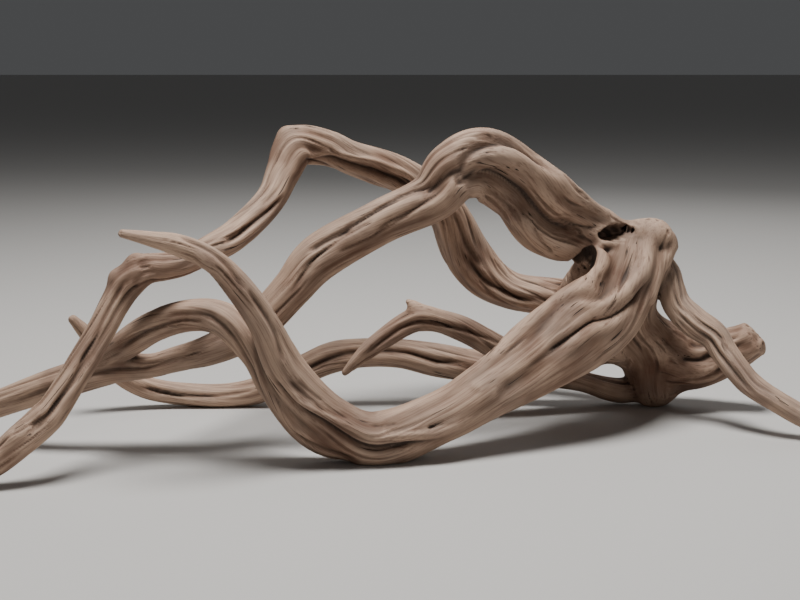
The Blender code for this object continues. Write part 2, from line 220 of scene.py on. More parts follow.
@dataclass(frozen=True)
class Hollow:
    """A rotted-out hollow: an egg with three half sizes, tilted in the plane that faces the camera.

    Its wall is ribbed with fibres that rotting has left standing. The wood in and round it is darkened with
    painted shade of a strength given for each hollow.
    """

    place: Span
    half_sizes: Span
    tilt: float
    lip: float
    # The strength of the painted shade in and round the hollow, from 0 to 1.
    rot: float
    rib_height: float = 0.4
    rib_pitch: float = 9.0

    def distance(self, points: np.ndarray) -> np.ndarray:
        """Roughly how far each point is outside the egg.

        Args:
            points: Places in millimetres, one to a row.

        Returns:
            The distance, negative inside the egg.
        """
        away = points - np.array(self.place, np.float32)
        cosine, sine = math.cos(math.radians(self.tilt)), math.sin(math.radians(self.tilt))
        right = away[:, 0] * cosine + away[:, 2] * sine
        rise = away[:, 2] * cosine - away[:, 0] * sine
        local = np.stack([right, away[:, 1], rise], axis=1)
        reach = np.linalg.norm(local, axis=1) + ROUNDING
        scaled = np.linalg.norm(local / np.array(self.half_sizes, np.float32), axis=1) + ROUNDING
        ribs = np.sin((local @ RIB_LEAN) * (2.0 * math.pi / self.rib_pitch))
        return (scaled - 1.0) * reach / scaled + self.rib_height * ribs


@dataclass(frozen=True)
class Limb:
    """One limb: stations of (x, y, z, half width, half thickness), and how its wood is shaped.

    Fillet is how far its wood flows into its neighbours', in millimetres, and twist is how fast its fibres
    turn round it, in degrees to the millimetre. Its grain gives way to a neighbour's by grain_yields, in
    millimetres.
    """

    node: str
    grain: Grain
    stations: tuple[Span, ...]
    furrows: tuple[Furrow, ...] = ()
    folds: tuple[Fold, ...] = ()
    slot: str = "weathered_wood"
    fillet: float = 5.0
    twist: float = 0.6
    end_bluntness: float = 1.0
    grain_yields: float = 0.0


KNOBS = (
    Knob((-191, -82, 143), 5.5, 5.0),
    Knob((-177, -79, 156), 4.5, 6.0),
    Knob((-169, -82, 150), -2.5, 6.0),
    Knob((-258, -148, 44), 4.0, 8.0),
    Knob((-237, -140, 47), -3.0, 6.0),
    Knob((-119, -118, 158), 2.5, 7.0),
    Knob((-78, 46, 246), 3.5, 9.0),
    Knob((238, 52, 164), 2.0, 8.0),
    Knob((252, 58, 145), 4.5, 7.0),
    Knob((329, 68, 84), 4.0, 8.0),
    Knob((336, 66, 60), 3.5, 9.0),
    Knob((326, 62, 72), -5.0, 4.5),
    Knob((331, 64, 65), 3.0, 5.0),
)

# Two rotted-out hollows. The wood in and round each is darkened with painted shade, the lower one fully.
HOLLOWS = (
    Hollow(place=(197, 34, 161), half_sizes=(20.0, 17.0, 6.5), tilt=5.0, lip=2.5, rot=0.45),
    Hollow(place=(167, 38, 133), half_sizes=(10.0, 34.0, 21.0), tilt=-30.0, lip=3.0, rot=1.0),
)

CROWN = Limb(
    node="crown",
    slot="burl_wood",
    grain=Grain.FIRST,
    stations=(
        (228, 56, 153, 18, 17),
        (222, 59, 138, 27, 24),
        (212, 68, 107, 27, 28),
        (216, 78, 78, 24, 25),
        (235, 88, 51, 24, 25),
        (243, 94, 22, 24, 23),
    ),
    furrows=(
        Furrow((60, 70, 75, 70), (0.10, 0.10, 0.05, 0.02)),
        Furrow((125, 120, 115, 130), (0.10, 0.10, 0.06, 0.03)),
        Furrow((190, 200, 210, 200), (0.17, 0.20, 0.12, 0.06)),
        Furrow((250, 260, 265, 270), (0.14, 0.20, 0.20, 0.11)),
        Furrow((320, 315, 320, 330), (0.14, 0.20, 0.17, 0.11)),
    ),
    fillet=9.0,
    twist=0.2,
    grain_yields=4.0,
)

FRONT_SWEEP = Limb(
    node="front_sweep",
    grain=Grain.SECOND,
    stations=(
        (216, 54, 150, 20, 12),
        (206, 39, 130, 31, 21),
        (185, 12, 102, 34, 25),
        (160, -6, 87, 35, 26),
        (132, -22, 71, 30, 25),
        (86, -46, 47, 23, 22),
        (50, -62, 31, 20, 20),
        (1, -76, 17, 22, 20),
        (-34, -84, 38, 16, 17),
        (-64, -90, 73, 15, 15),
        (-80, -96, 111, 12, 13),
        (-99, -104, 141, 10.5, 11),
        (-116, -110, 160, 8.5, 9),
        (-137, -114, 170, 8, 8),
        (-157, -117, 175, 5.5, 5.5),
        (-176, -120, 179, 3.2, 3.2),
    ),
    furrows=(
        Furrow((80, 56, 48, 50, 45, 40), (0.10, 0.14, 0.10, 0.08, 0.12, 0.08), 20),
        Furrow((140, 106, 100, 92, 85, 80), (0.10, 0.12, 0.10, 0.07, 0.10, 0.06), 11),
        Furrow((170, 140, 132, 126, 130, 130), (0.12, 0.12, 0.12, 0.12, 0.08, 0.08), 16),
        Furrow((215, 200, 190, 200, 200, 200), (0.15, 0.21, 0.15, 0.15, 0.12, 0.06), 16),
        Furrow((285, 270, 265, 260, 250, 250), (0.21, 0.27, 0.21, 0.15, 0.12, 0.06), 18),
        Furrow((340, 330, 320, 330, 320, 320), (0.12, 0.18, 0.18, 0.12, 0.12, 0.06), 14),
    ),
    folds=(
        Fold(
            ((0.02, 72), (0.09, 78), (0.14, 72), (0.18, 62), (0.21, 48), (0.27, 50), (0.33, 46), (0.39, 36)),
            depth=2.5,
            width=9.0,
        ),
        Fold(((0.07, 56), (0.11, 58), (0.15, 56), (0.18, 38), (0.21, 26), (0.25, 32), (0.30, 42)), 3.0, 5.0),
        Fold(
            ((0.06, 118), (0.11, 112), (0.15, 94), (0.18, 82), (0.23, 78), (0.28, 76)),
            depth=6.0,
            width=3.5,
            profile=Profile.SHARP,
        ),
        Fold(((0.22, 80), (0.26, 84), (0.31, 88), (0.37, 88)), 4.0, 6.0),
        Fold(
            (
                (0.38, 102),
                (0.42, 108),
                (0.46, 104),
                (0.49, 88),
                (0.53, 70),
                (0.61, 74),
                (0.67, 104),
                (0.71, 112),
            ),
            depth=-3.5,
            width=5.0,
        ),
        Fold(
            ((0.44, 130), (0.49, 108), (0.52, 92), (0.58, 88), (0.62, 102), (0.66, 132), (0.72, 140)),
            depth=6.0,
            width=4.0,
        ),
        Fold(((0.59, 54), (0.63, 76), (0.66, 84), (0.70, 88)), 2.5, 3.5),
        Fold(((0.50, 52), (0.56, 42)), 1.2, 1.3, Profile.SHARP),
        Fold(((0.43, 98), (0.51, 70)), 1.2, 1.3, Profile.SHARP),
        Fold(((0.63, 54), (0.69, 72)), 1.8, 1.4, Profile.SHARP),
        Fold(((0.82, 70), (0.87, 50), (0.90, 40), (0.94, 14)), 2.5, 2.6),
        Fold(((0.71, 74), (0.75, 64), (0.79, 60), (0.83, 56)), 2.5, 2.6),
    ),
    fillet=9.0,
    twist=-0.15,
)

UPPER_ARCH = Limb(
    node="upper_arch",
    grain=Grain.THIRD,
    stations=(
        (205, 60, 146, 15, 13),
        (184, 48, 152, 26, 20),
        (161, 38, 163, 27, 22),
        (138, 29, 175, 32, 22),
        (113, 18, 202, 28, 22),
        (85, 6, 218, 29, 22),
        (62, 0, 212, 25, 21),
        (43, -4, 192, 20, 19),
        (3, -12, 174, 18, 18),
        (-42, -22, 149, 19, 18),
        (-64, -30, 125, 16, 16),
        (-85, -37, 103, 15, 15),
        (-105, -39, 89, 14, 14),
        (-130, -40, 78, 12, 13),
        (-155, -40, 71, 10, 11),
        (-175, -41, 66, 9.5, 11),
        (-205, -44, 65, 13, 12),
        (-245, -42, 53, 13, 12),
        (-295, -34, 34, 11, 11),
        (-337, -29, 18, 9.5, 9.5),
        (-374, -26, 5, 6, 6),
    ),
    furrows=(
        Furrow((100, 98, 84, 92, 90, 85, 80), (0.20, 0.24, 0.08, 0.08, 0.12, 0.11, 0.14), 15),
        Furrow((52, 42, 50, 58, 52, 50, 45), (0.08, 0.12, 0.10, 0.12, 0.14, 0.14, 0.08), 12),
        Furrow((135, 132, 120, 128, 130, 125, 120), (0.11, 0.14, 0.20, 0.14, 0.11, 0.11, 0.08), 14),
        Furrow((185, 190, 185, 180, 185, 180, 180), (0.14, 0.20, 0.17, 0.17, 0.11, 0.11, 0.08), 18),
        Furrow((250, 255, 250, 240, 250, 250, 250), (0.17, 0.22, 0.20, 0.17, 0.17, 0.14, 0.08), 18),
        Furrow((310, 320, 315, 310, 320, 310, 310), (0.14, 0.20, 0.20, 0.17, 0.14, 0.14, 0.08), 16),
    ),
    folds=(
        Fold(
            ((0.15, 30), (0.18, 30), (0.21, 24), (0.22, 28), (0.24, 56), (0.26, 80), (0.28, 72), (0.33, 56)),
            depth=6.5,
            width=6.0,
        ),
        Fold(
            ((0.05, 64), (0.08, 76), (0.11, 88), (0.15, 97), (0.20, 103), (0.24, 110), (0.30, 124)),
            depth=10.0,
            width=9.5,
        ),
        Fold(((0.10, 128), (0.135, 114)), 3.5, 1.6, Profile.SHARP),
        Fold(((0.06, 60), (0.09, 74), (0.12, 76)), 3.5, 2.0, Profile.SHARP),
        Fold(((0.27, 92), (0.31, 84), (0.33, 88), (0.36, 92), (0.39, 104)), 2.8, 2.2, Profile.SHARP),
        Fold(((0.32, 88), (0.36, 104), (0.39, 108), (0.44, 98)), 2.2, 2.0, Profile.SHARP),
        Fold(((0.37, 66), (0.40, 72), (0.43, 74), (0.46, 80), (0.51, 90)), 2.5, 2.2, Profile.SHARP),
        Fold(((0.40, 64), (0.46, 56)), 2.5, 2.5),
        Fold(((0.28, 64), (0.32, 40), (0.34, 38), (0.37, 48), (0.43, 62)), 3.5, 2.6, Profile.SHARP),
        Fold(((0.60, 68), (0.66, 74), (0.72, 88), (0.79, 90), (0.88, 96)), 2.5, 3.2),
    ),
    fillet=5.0,
    twist=0.25,
)

SIDE_STRAND = Limb(
    node="side_strand",
    grain=Grain.FIRST,
    stations=(
        (24, -70, 19, 6, 6),
        (-23, -77, 14, 12.5, 12),
        (-52, -78, 27, 12.5, 13),
        (-75, -76, 58, 12.5, 14),
        (-88, -74, 84, 13, 14),
        (-112, -72, 108, 13, 14),
        (-138, -68, 111, 12, 13),
        (-166, -62, 102, 12, 13),
        (-191, -54, 85, 11.5, 11),
        (-212, -46, 68, 7, 7),
    ),
    furrows=(
        Furrow((80, 95, 100, 90, 80), (0.09, 0.12, 0.12, 0.15, 0.08), 12),
        Furrow((150, 150, 140, 130, 130), (0.09, 0.18, 0.15, 0.15, 0.08), 16),
        Furrow((230, 240, 230, 230, 230), (0.09, 0.18, 0.21, 0.18, 0.08), 18),
        Furrow((320, 330, 320, 310, 310), (0.09, 0.15, 0.18, 0.15, 0.08), 18),
    ),
    folds=(
        Fold(((0.12, 130), (0.17, 114), (0.22, 110), (0.30, 130)), 3.0, 3.0),
        Fold(((0.36, 142), (0.49, 130), (0.58, 102), (0.64, 78), (0.72, 70), (0.82, 74)), 2.5, 3.0),
        Fold(((0.62, 110), (0.71, 98), (0.79, 96), (0.92, 78)), 2.5, 2.8),
    ),
    fillet=4.0,
    twist=0.9,
    grain_yields=3.0,
)

BACK_ARCH = Limb(
    node="back_arch",
    grain=Grain.SECOND,
    stations=(
        (205, 84, 104, 10, 10),
        (186, 106, 94, 18, 17),
        (170, 116, 91, 18, 18),
        (145, 128, 92, 17, 18),
        (118, 134, 96, 17, 18),
        (95, 135, 110, 20.5, 18),
        (77, 132, 133, 21.5, 18),
        (62, 122, 165, 18, 17),
        (45, 112, 183, 17, 16),
        (23, 99, 200, 16, 15),
        (2, 86, 210, 16, 15),
        (-23, 74, 219, 14, 14),
        (-43, 64, 228, 15, 14),
        (-66, 50, 229, 17, 15),
        (-76, 38, 210, 14, 14),
        (-83, 24, 193, 12, 13),
        (-94, 6, 179, 12, 12),
        (-110, -18, 165, 12, 12),
        (-126, -40, 157, 11, 11),
        (-143, -58, 150, 10, 10.5),
        (-156, -68, 148, 10.5, 10.5),
        (-169, -76, 147, 11.5, 11),
        (-181, -80, 139, 12.5, 12),
        (-190, -86, 124, 11, 11),
        (-203, -98, 98, 10.5, 10.5),
        (-226, -120, 58, 11, 11),
        (-237, -128, 45, 12, 11),
        (-264, -139, 22, 11, 10.5),
        (-279, -143, 12, 9, 9.5),
        (-292, -146, 4, 6, 7),
    ),
    furrows=(
        Furrow((90, 95, 105, 110, 90, 100, 95, 90), (0.15, 0.18, 0.15, 0.18, 0.16, 0.12, 0.12, 0.09), 14),
        Furrow((40, 45, 50, 55, 40, 50, 45, 45), (0.12, 0.15, 0.15, 0.12, 0.12, 0.14, 0.12, 0.09), 14),
        Furrow(
            (150, 150, 150, 155, 150, 150, 150, 150),
            (0.12, 0.18, 0.18, 0.15, 0.15, 0.18, 0.15, 0.09),
            width=18,
        ),
        Furrow(
            (215, 220, 210, 210, 220, 210, 210, 210),
            (0.15, 0.18, 0.21, 0.18, 0.15, 0.15, 0.15, 0.09),
            width=18,
        ),
        Furrow(
            (285, 280, 290, 280, 280, 290, 280, 280),
            (0.15, 0.21, 0.21, 0.18, 0.18, 0.18, 0.15, 0.09),
            width=18,
        ),
    ),
    folds=(
        Fold(((0.32, 76), (0.37, 76), (0.39, 72), (0.42, 82), (0.45, 108), (0.50, 148)), -3.0, 3.5),
        Fold(((0.31, 100), (0.37, 102), (0.42, 108), (0.46, 134), (0.50, 170)), 4.0, 5.0),
        Fold(((0.54, 130), (0.58, 112), (0.61, 98), (0.65, 82)), 3.5, 2.2),
        Fold(((0.10, 104), (0.15, 92), (0.18, 98), (0.22, 90)), 3.0, 3.0),
        Fold(((0.18, 78), (0.23, 78), (0.28, 72)), 3.0, 3.0),
        Fold(((0.72, 92), (0.75, 126), (0.80, 118), (0.83, 114), (0.88, 88), (0.93, 84)), 3.0, 2.8),
        Fold(((0.74, 84), (0.80, 84), (0.86, 92)), 2.5, 2.5),
    ),
    fillet=6.0,
    twist=0.7,
)

LOW_RUNNER = Limb(
    node="low_runner",
    grain=Grain.SECOND,
    stations=(
        (237, 94, 20, 10, 10),
        (219, 96, 13, 11.5, 12),
        (203, 97, 14, 10.5, 12),
        (178, 97, 21, 9, 11),
        (143, 98, 27, 11.5, 12),
        (107, 99, 31, 15, 14),
        (76, 99, 35, 15, 14),
        (49, 98, 40, 15, 14),
        (19, 96, 46, 13, 13),
        (-11, 94, 47, 13, 13),
        (-38, 92, 44, 14, 13),
        (-59, 91, 36, 13, 13),
        (-82, 91, 25, 12, 12),
        (-109, 91, 13, 11.5, 12),
        (-139, 90, 9, 10.5, 12),
        (-174, 87, 12, 10, 10),
        (-203, 82, 19, 10, 9),
        (-225, 74, 34, 9, 8.5),
        (-239, 66, 56, 7.5, 7.5),
        (-249, 60, 73, 6.5, 6),
        (-257, 56, 84, 4.5, 4),
    ),
    furrows=(
        Furrow((90, 85, 80, 95, 95, 90), (0.12, 0.16, 0.14, 0.18, 0.16, 0.08), 13),
        Furrow((30, 40, 35, 40, 30, 30), (0.09, 0.15, 0.18, 0.12, 0.12, 0.06), 15),
        Furrow((145, 140, 150, 140, 150, 150), (0.09, 0.15, 0.18, 0.15, 0.12, 0.06), 18),
        Furrow((215, 220, 210, 220, 210, 210), (0.12, 0.18, 0.18, 0.15, 0.15, 0.06), 18),
        Furrow((290, 280, 290, 290, 280, 280), (0.12, 0.18, 0.21, 0.18, 0.15, 0.06), 18),
    ),
    folds=(
        Fold(((0.28, 60), (0.35, 82), (0.40, 68), (0.49, 70), (0.53, 80), (0.57, 84), (0.64, 88)), 3.5, 3.0),
        Fold(((0.64, 66), (0.71, 70), (0.78, 82), (0.86, 74)), 2.5, 2.8),
    ),
    fillet=5.0,
    twist=0.5,
)

SPUR = Limb(
    node="spur",
    grain=Grain.THIRD,
    stations=(
        (210, 82, 61, 9, 9),
        (192, 80, 53, 13, 13),
        (173, 78, 47, 13, 13),
        (153, 74, 42, 13, 13),
        (130, 66, 45, 13, 12),
        (108, 60, 55, 12, 12),
        (91, 55, 66, 11, 11),
        (71, 51, 77, 11, 11),
        (53, 48, 84, 10, 10),
        (37, 46, 87, 11, 10.5),
        (25, 45, 83, 10, 10),
        (9, 43, 73, 9, 9),
        (-6, 42, 62, 7.5, 7.5),
        (-17, 41, 52, 5.5, 5.5),
        (-27, 40, 42, 3, 3),
    ),
    furrows=(
        Furrow((90, 95, 100, 95, 90), (0.12, 0.14, 0.14, 0.16, 0.08), 13),
        Furrow((30, 35, 40, 35, 30), (0.09, 0.15, 0.15, 0.15, 0.06), 16),
        Furrow((210, 215, 220, 215, 210), (0.09, 0.18, 0.21, 0.18, 0.06), 18),
        Furrow((290, 285, 290, 285, 290), (0.09, 0.18, 0.18, 0.15, 0.06), 18),
    ),
    folds=(
        Fold(((0.40, 50), (0.56, 78), (0.65, 92), (0.71, 94), (0.78, 82), (0.85, 84), (0.95, 106)), 3.0, 2.6),
    ),
    fillet=5.0,
    twist=0.7,
)

STUMP = Limb(
    node="stump",
    grain=Grain.THIRD,
    stations=(
        (230, 92, 39, 14, 13),
        (250, 92, 42, 30, 25),
        (268, 90, 41, 27, 25),
        (283, 86, 43, 24.5, 24),
        (303, 80, 52, 21, 20),
        (314, 76, 58, 18, 18),
        (322, 73, 64, 16, 16),
    ),
    furrows=(
        Furrow((275, 270, 265, 262), (0.09, 0.21, 0.21, 0.30), 13),
        Furrow((230, 235, 232, 225), (0.09, 0.18, 0.18, 0.21), 13),
        Furrow((310, 315, 312, 305), (0.09, 0.15, 0.21, 0.18), 14),
        Furrow((30, 35, 40, 40), (0.09, 0.18, 0.21, 0.24), 18),
        Furrow((95, 100, 95, 100), (0.12, 0.16, 0.18, 0.18), 18),
        Furrow((165, 160, 170, 165), (0.09, 0.18, 0.18, 0.21), 18),
    ),
    folds=(
        Fold(((0.25, 100), (0.64, 110), (1.0, 112)), 3.0, 3.0),
        Fold(((0.28, 64), (0.58, 68), (0.95, 76)), 3.0, 3.0),
        Fold(((0.38, 134), (0.77, 138), (1.0, 138)), 2.5, 2.8),
    ),
    fillet=8.0,
    twist=0.3,
    end_bluntness=0.35,
)

RIGHT_LEG = Limb(
    node="right_leg",
    slot="grey_wood",
    grain=Grain.THIRD,
    stations=(
        (231, 62, 137, 6, 6),
        (244, 61, 126, 9.5, 9),
        (247, 54, 111, 11, 11),
        (251, 48, 98, 12, 11),
        (263, 40, 86, 13, 12),
        (278, 32, 76, 12, 12),
        (286, 24, 63, 11, 11),
        (295, 14, 50, 10.5, 10.5),
        (305, 6, 39, 10, 10),
        (321, -6, 30, 9.5, 9.5),
        (339, -14, 20, 9, 9),
        (357, -22, 12, 8, 8.5),
        (376, -27, 5, 5, 6),
    ),
    furrows=(
        Furrow((270, 275, 265, 260, 270), (0.15, 0.14, 0.14, 0.12, 0.08), 14),
        Furrow((225, 220, 215, 220, 225), (0.12, 0.10, 0.10, 0.10, 0.06), 14),
        Furrow((330, 320, 315, 320, 325), (0.12, 0.18, 0.18, 0.15, 0.06), 16),
        Furrow((60, 55, 60, 55, 60), (0.12, 0.18, 0.18, 0.15, 0.06), 18),
        Furrow((140, 135, 140, 135, 140), (0.12, 0.18, 0.18, 0.15, 0.06), 18),
    ),
    folds=(
        Fold(
            ((0.05, 80), (0.19, 90), (0.28, 100), (0.40, 94), (0.50, 118), (0.65, 118), (0.80, 112)),
            depth=2.5,
            width=2.4,
        ),
        Fold(((0.18, 72), (0.31, 70), (0.43, 56), (0.53, 66), (0.68, 76)), 2.5, 2.4),
    ),
    fillet=5.0,
    twist=0.4,
)

LIMBS = (CROWN, FRONT_SWEEP, UPPER_ARCH, SIDE_STRAND, BACK_ARCH, LOW_RUNNER, SPUR, STUMP, RIGHT_LEG)


def tendon(host: Limb, *stations: Span, fillet: float = 5.0) -> Limb:
    """A bundle of fibres that stands out along a limb.

    Args:
        host: The limb that it runs along.
        stations: Its (x, y, z, radius) from one end to the other, in millimetres.
        fillet: How far it flows into the limb.

    Returns:
        The bundle, shaped as a thin limb of the same node.
    """
    rows = tuple((x, y, z, radius, radius) for x, y, z, radius in stations)
    return Limb(host.node, host.grain, rows, slot=host.slot, fillet=fillet)


TENDONS = (
    # The lip along the sweep's left edge, which starts in a small hook beside the dark cavity.
    tendon(
        FRONT_SWEEP,
        (192, 30, 152, 4),
        (185, 27, 152, 4.5),
        (179, 24, 148, 5),
        (182, 17, 141, 6.5),
        (180, 9, 133, 7.5),
        (171, 1, 125, 7.5),
        (160, -7, 117, 7.5),
        (146, -13, 109, 7),
        (129, -21, 101, 6.5),
        (109, -31, 88, 6),
        (97, -40, 77, 5),
        (86, -45, 68, 3),
    ),
    # The ridge down the middle of the sweep.
    tendon(
        FRONT_SWEEP,
        (230, 48, 162, 4.5),
        (223, 40, 147, 6),
        (218, 27, 135, 7),
        (209, 12, 125, 7.5),
        (196, 0, 116, 7.5),
        (181, -10, 109, 7),
        (164, -16, 102, 7),
        (143, -25, 92, 6.5),
        (125, -38, 79, 6),
        (101, -50, 66, 5),
        (79, -62, 54, 4),
    ),
    # The rolled edge at the crown's right.
    tendon(
        CROWN,
        (238, 47, 158, 5),
        (243, 50, 151, 6.5),
        (239, 47, 141, 7.5),
        (231, 38, 131, 7.5),
        (226, 29, 121, 7),
        (222, 21, 109, 6),
    ),
    # The rim over the hollow, where the upper arch flows into the crown.
    tendon(
        CROWN,
        (170, 42, 180, 7),
        (186, 47, 169, 9),
        (203, 52, 160, 9),
        (218, 53, 159, 9),
        (229, 50, 158, 8),
        (236, 47, 155, 6),
    ),
    # The second crest of the upper arch.
    tendon(
        UPPER_ARCH,
        (184, 34, 176, 5),
        (171, 27, 183, 7),
        (158, 20, 192, 9),
        (144, 15, 203, 10),
        (130, 11, 212, 10),
        (114, 4, 220, 10),
        (99, -4, 223, 10),
        (88, -7, 221, 9),
        (78, -8, 213, 8.5),
        (67, -12, 204, 8),
        (56, -13, 195, 7),
        (43, -14, 187, 6),
        (30, -12, 180, 4),
    ),
    # The thorn on the spur's bend.
    tendon(SPUR, (40, 46, 87, 8), (34, 46, 93, 7), (30, 46, 98, 5), (26, 46, 101, 2.5)),
    # The first crest of the upper arch.
    tendon(
        UPPER_ARCH,
        (92, 4, 234, 6),
        (83, 0, 231, 9),
        (72, -5, 221, 10),
        (61, -9, 209, 10),
        (49, -10, 199, 9),
        (33, -9, 191, 8),
        (16, -9, 183, 6),
    ),
    # The band under the deep fold.
    tendon(
        UPPER_ARCH,
        (86, 0, 194, 5),
        (98, 7, 188, 7.5),
        (111, 10, 180, 9),
        (122, 12, 171, 10),
        (134, 17, 159, 10.5),
        (148, 24, 150, 11),
        (161, 32, 150, 9.5),
        (175, 38, 157, 7),
    ),
    # The wood behind the dark cavity.
    tendon(
        CROWN,
        (212, 74, 140, 18),
        (195, 78, 131, 19),
        (182, 86, 117, 17),
        (175, 100, 102, 16),
        fillet=8.0,
    ),
    tendon(CROWN, (200, 76, 148, 15), (181, 74, 142, 15), (167, 72, 145, 11), (158, 66, 152, 8), fillet=8.0),
    # The flare of the burl's foot over the low opening.
    tendon(CROWN, (186, 48, 68, 12), (199, 62, 60, 13), (214, 76, 52, 14), (230, 86, 42, 14), fillet=9.0),
    # The shoulder that joins the crown to the stump.
    tendon(STUMP, (222, 76, 84, 14), (236, 83, 66, 17), (254, 88, 53, 20), (272, 89, 46, 20), fillet=10.0),
    # The folds that flow round the foot of the burl into the stump.
    tendon(
        STUMP,
        (224, 68, 72, 5),
        (236, 66, 58, 8),
        (250, 67, 46, 9),
        (267, 69, 36, 9),
        (284, 70, 36, 7),
        fillet=7.0,
    ),
)


@dataclass(frozen=True)
class Stand:
    """Where a set of points stand in a limb's sections, one to a row.

    Across and through are millimetres along the section's two axes, share is how far along the limb it is,
    angle is in degrees round it, scaled is 1 on its plain oval, radius is the oval's towards the point and
    mean its mean.
    """

    across: np.ndarray
    through: np.ndarray
    share: np.ndarray
    angle: np.ndarray
    scaled: np.ndarray
    radius: np.ndarray
    mean: np.ndarray


@dataclass
class Volume:
    """The box of samples that the limbs are grown together in."""

    low: np.ndarray
    shape: tuple[int, int, int]
    distance: np.ndarray = field(init=False)

    def __post_init__(self) -> None:
        """Starts with nothing but air in the box."""
        self.distance = np.full(self.shape, BAND, np.float32)

    def box(self, low: np.ndarray, high: np.ndarray) -> tuple[slice, slice, slice]:
        """The samples between two corners.

        Args:
            low: The lowest corner, in millimetres.
            high: The highest corner, in millimetres.

        Returns:
            One slice for each axis.
        """
        first = np.clip(np.floor((low - self.low) / VOXEL).astype(int), 0, self.shape)
        last = np.clip(np.ceil((high - self.low) / VOXEL).astype(int) + 1, 0, self.shape)
        return tuple(slice(a, b) for a, b in zip(first.tolist(), last.tolist()))

    def points(self, box: tuple[slice, slice, slice], chosen: np.ndarray) -> np.ndarray:
        """The places of some of a box's samples.

        Args:
            box: One slice for each axis.
            chosen: True at the samples that are wanted.

        Returns:
            Places in millimetres, one to a row.
        """
        index = np.nonzero(chosen)
        return np.stack([line.ravel()[part] for line, part in zip(self.axes(box), index)], axis=1)

    def axes(self, box: tuple[slice, slice, slice]) -> list[np.ndarray]:
        """The coordinates of a box's samples.

        Args:
            box: One slice for each axis.

        Returns:
            Millimetres along X, Y and Z, shaped to be added together.
        """
        lines = [self.low[axis] + VOXEL * np.arange(span.start, span.stop) for axis, span in enumerate(box)]
        shapes = ((-1, 1, 1), (1, -1, 1), (1, 1, -1))
        return [line.astype(np.float32).reshape(shape) for line, shape in zip(lines, shapes)]


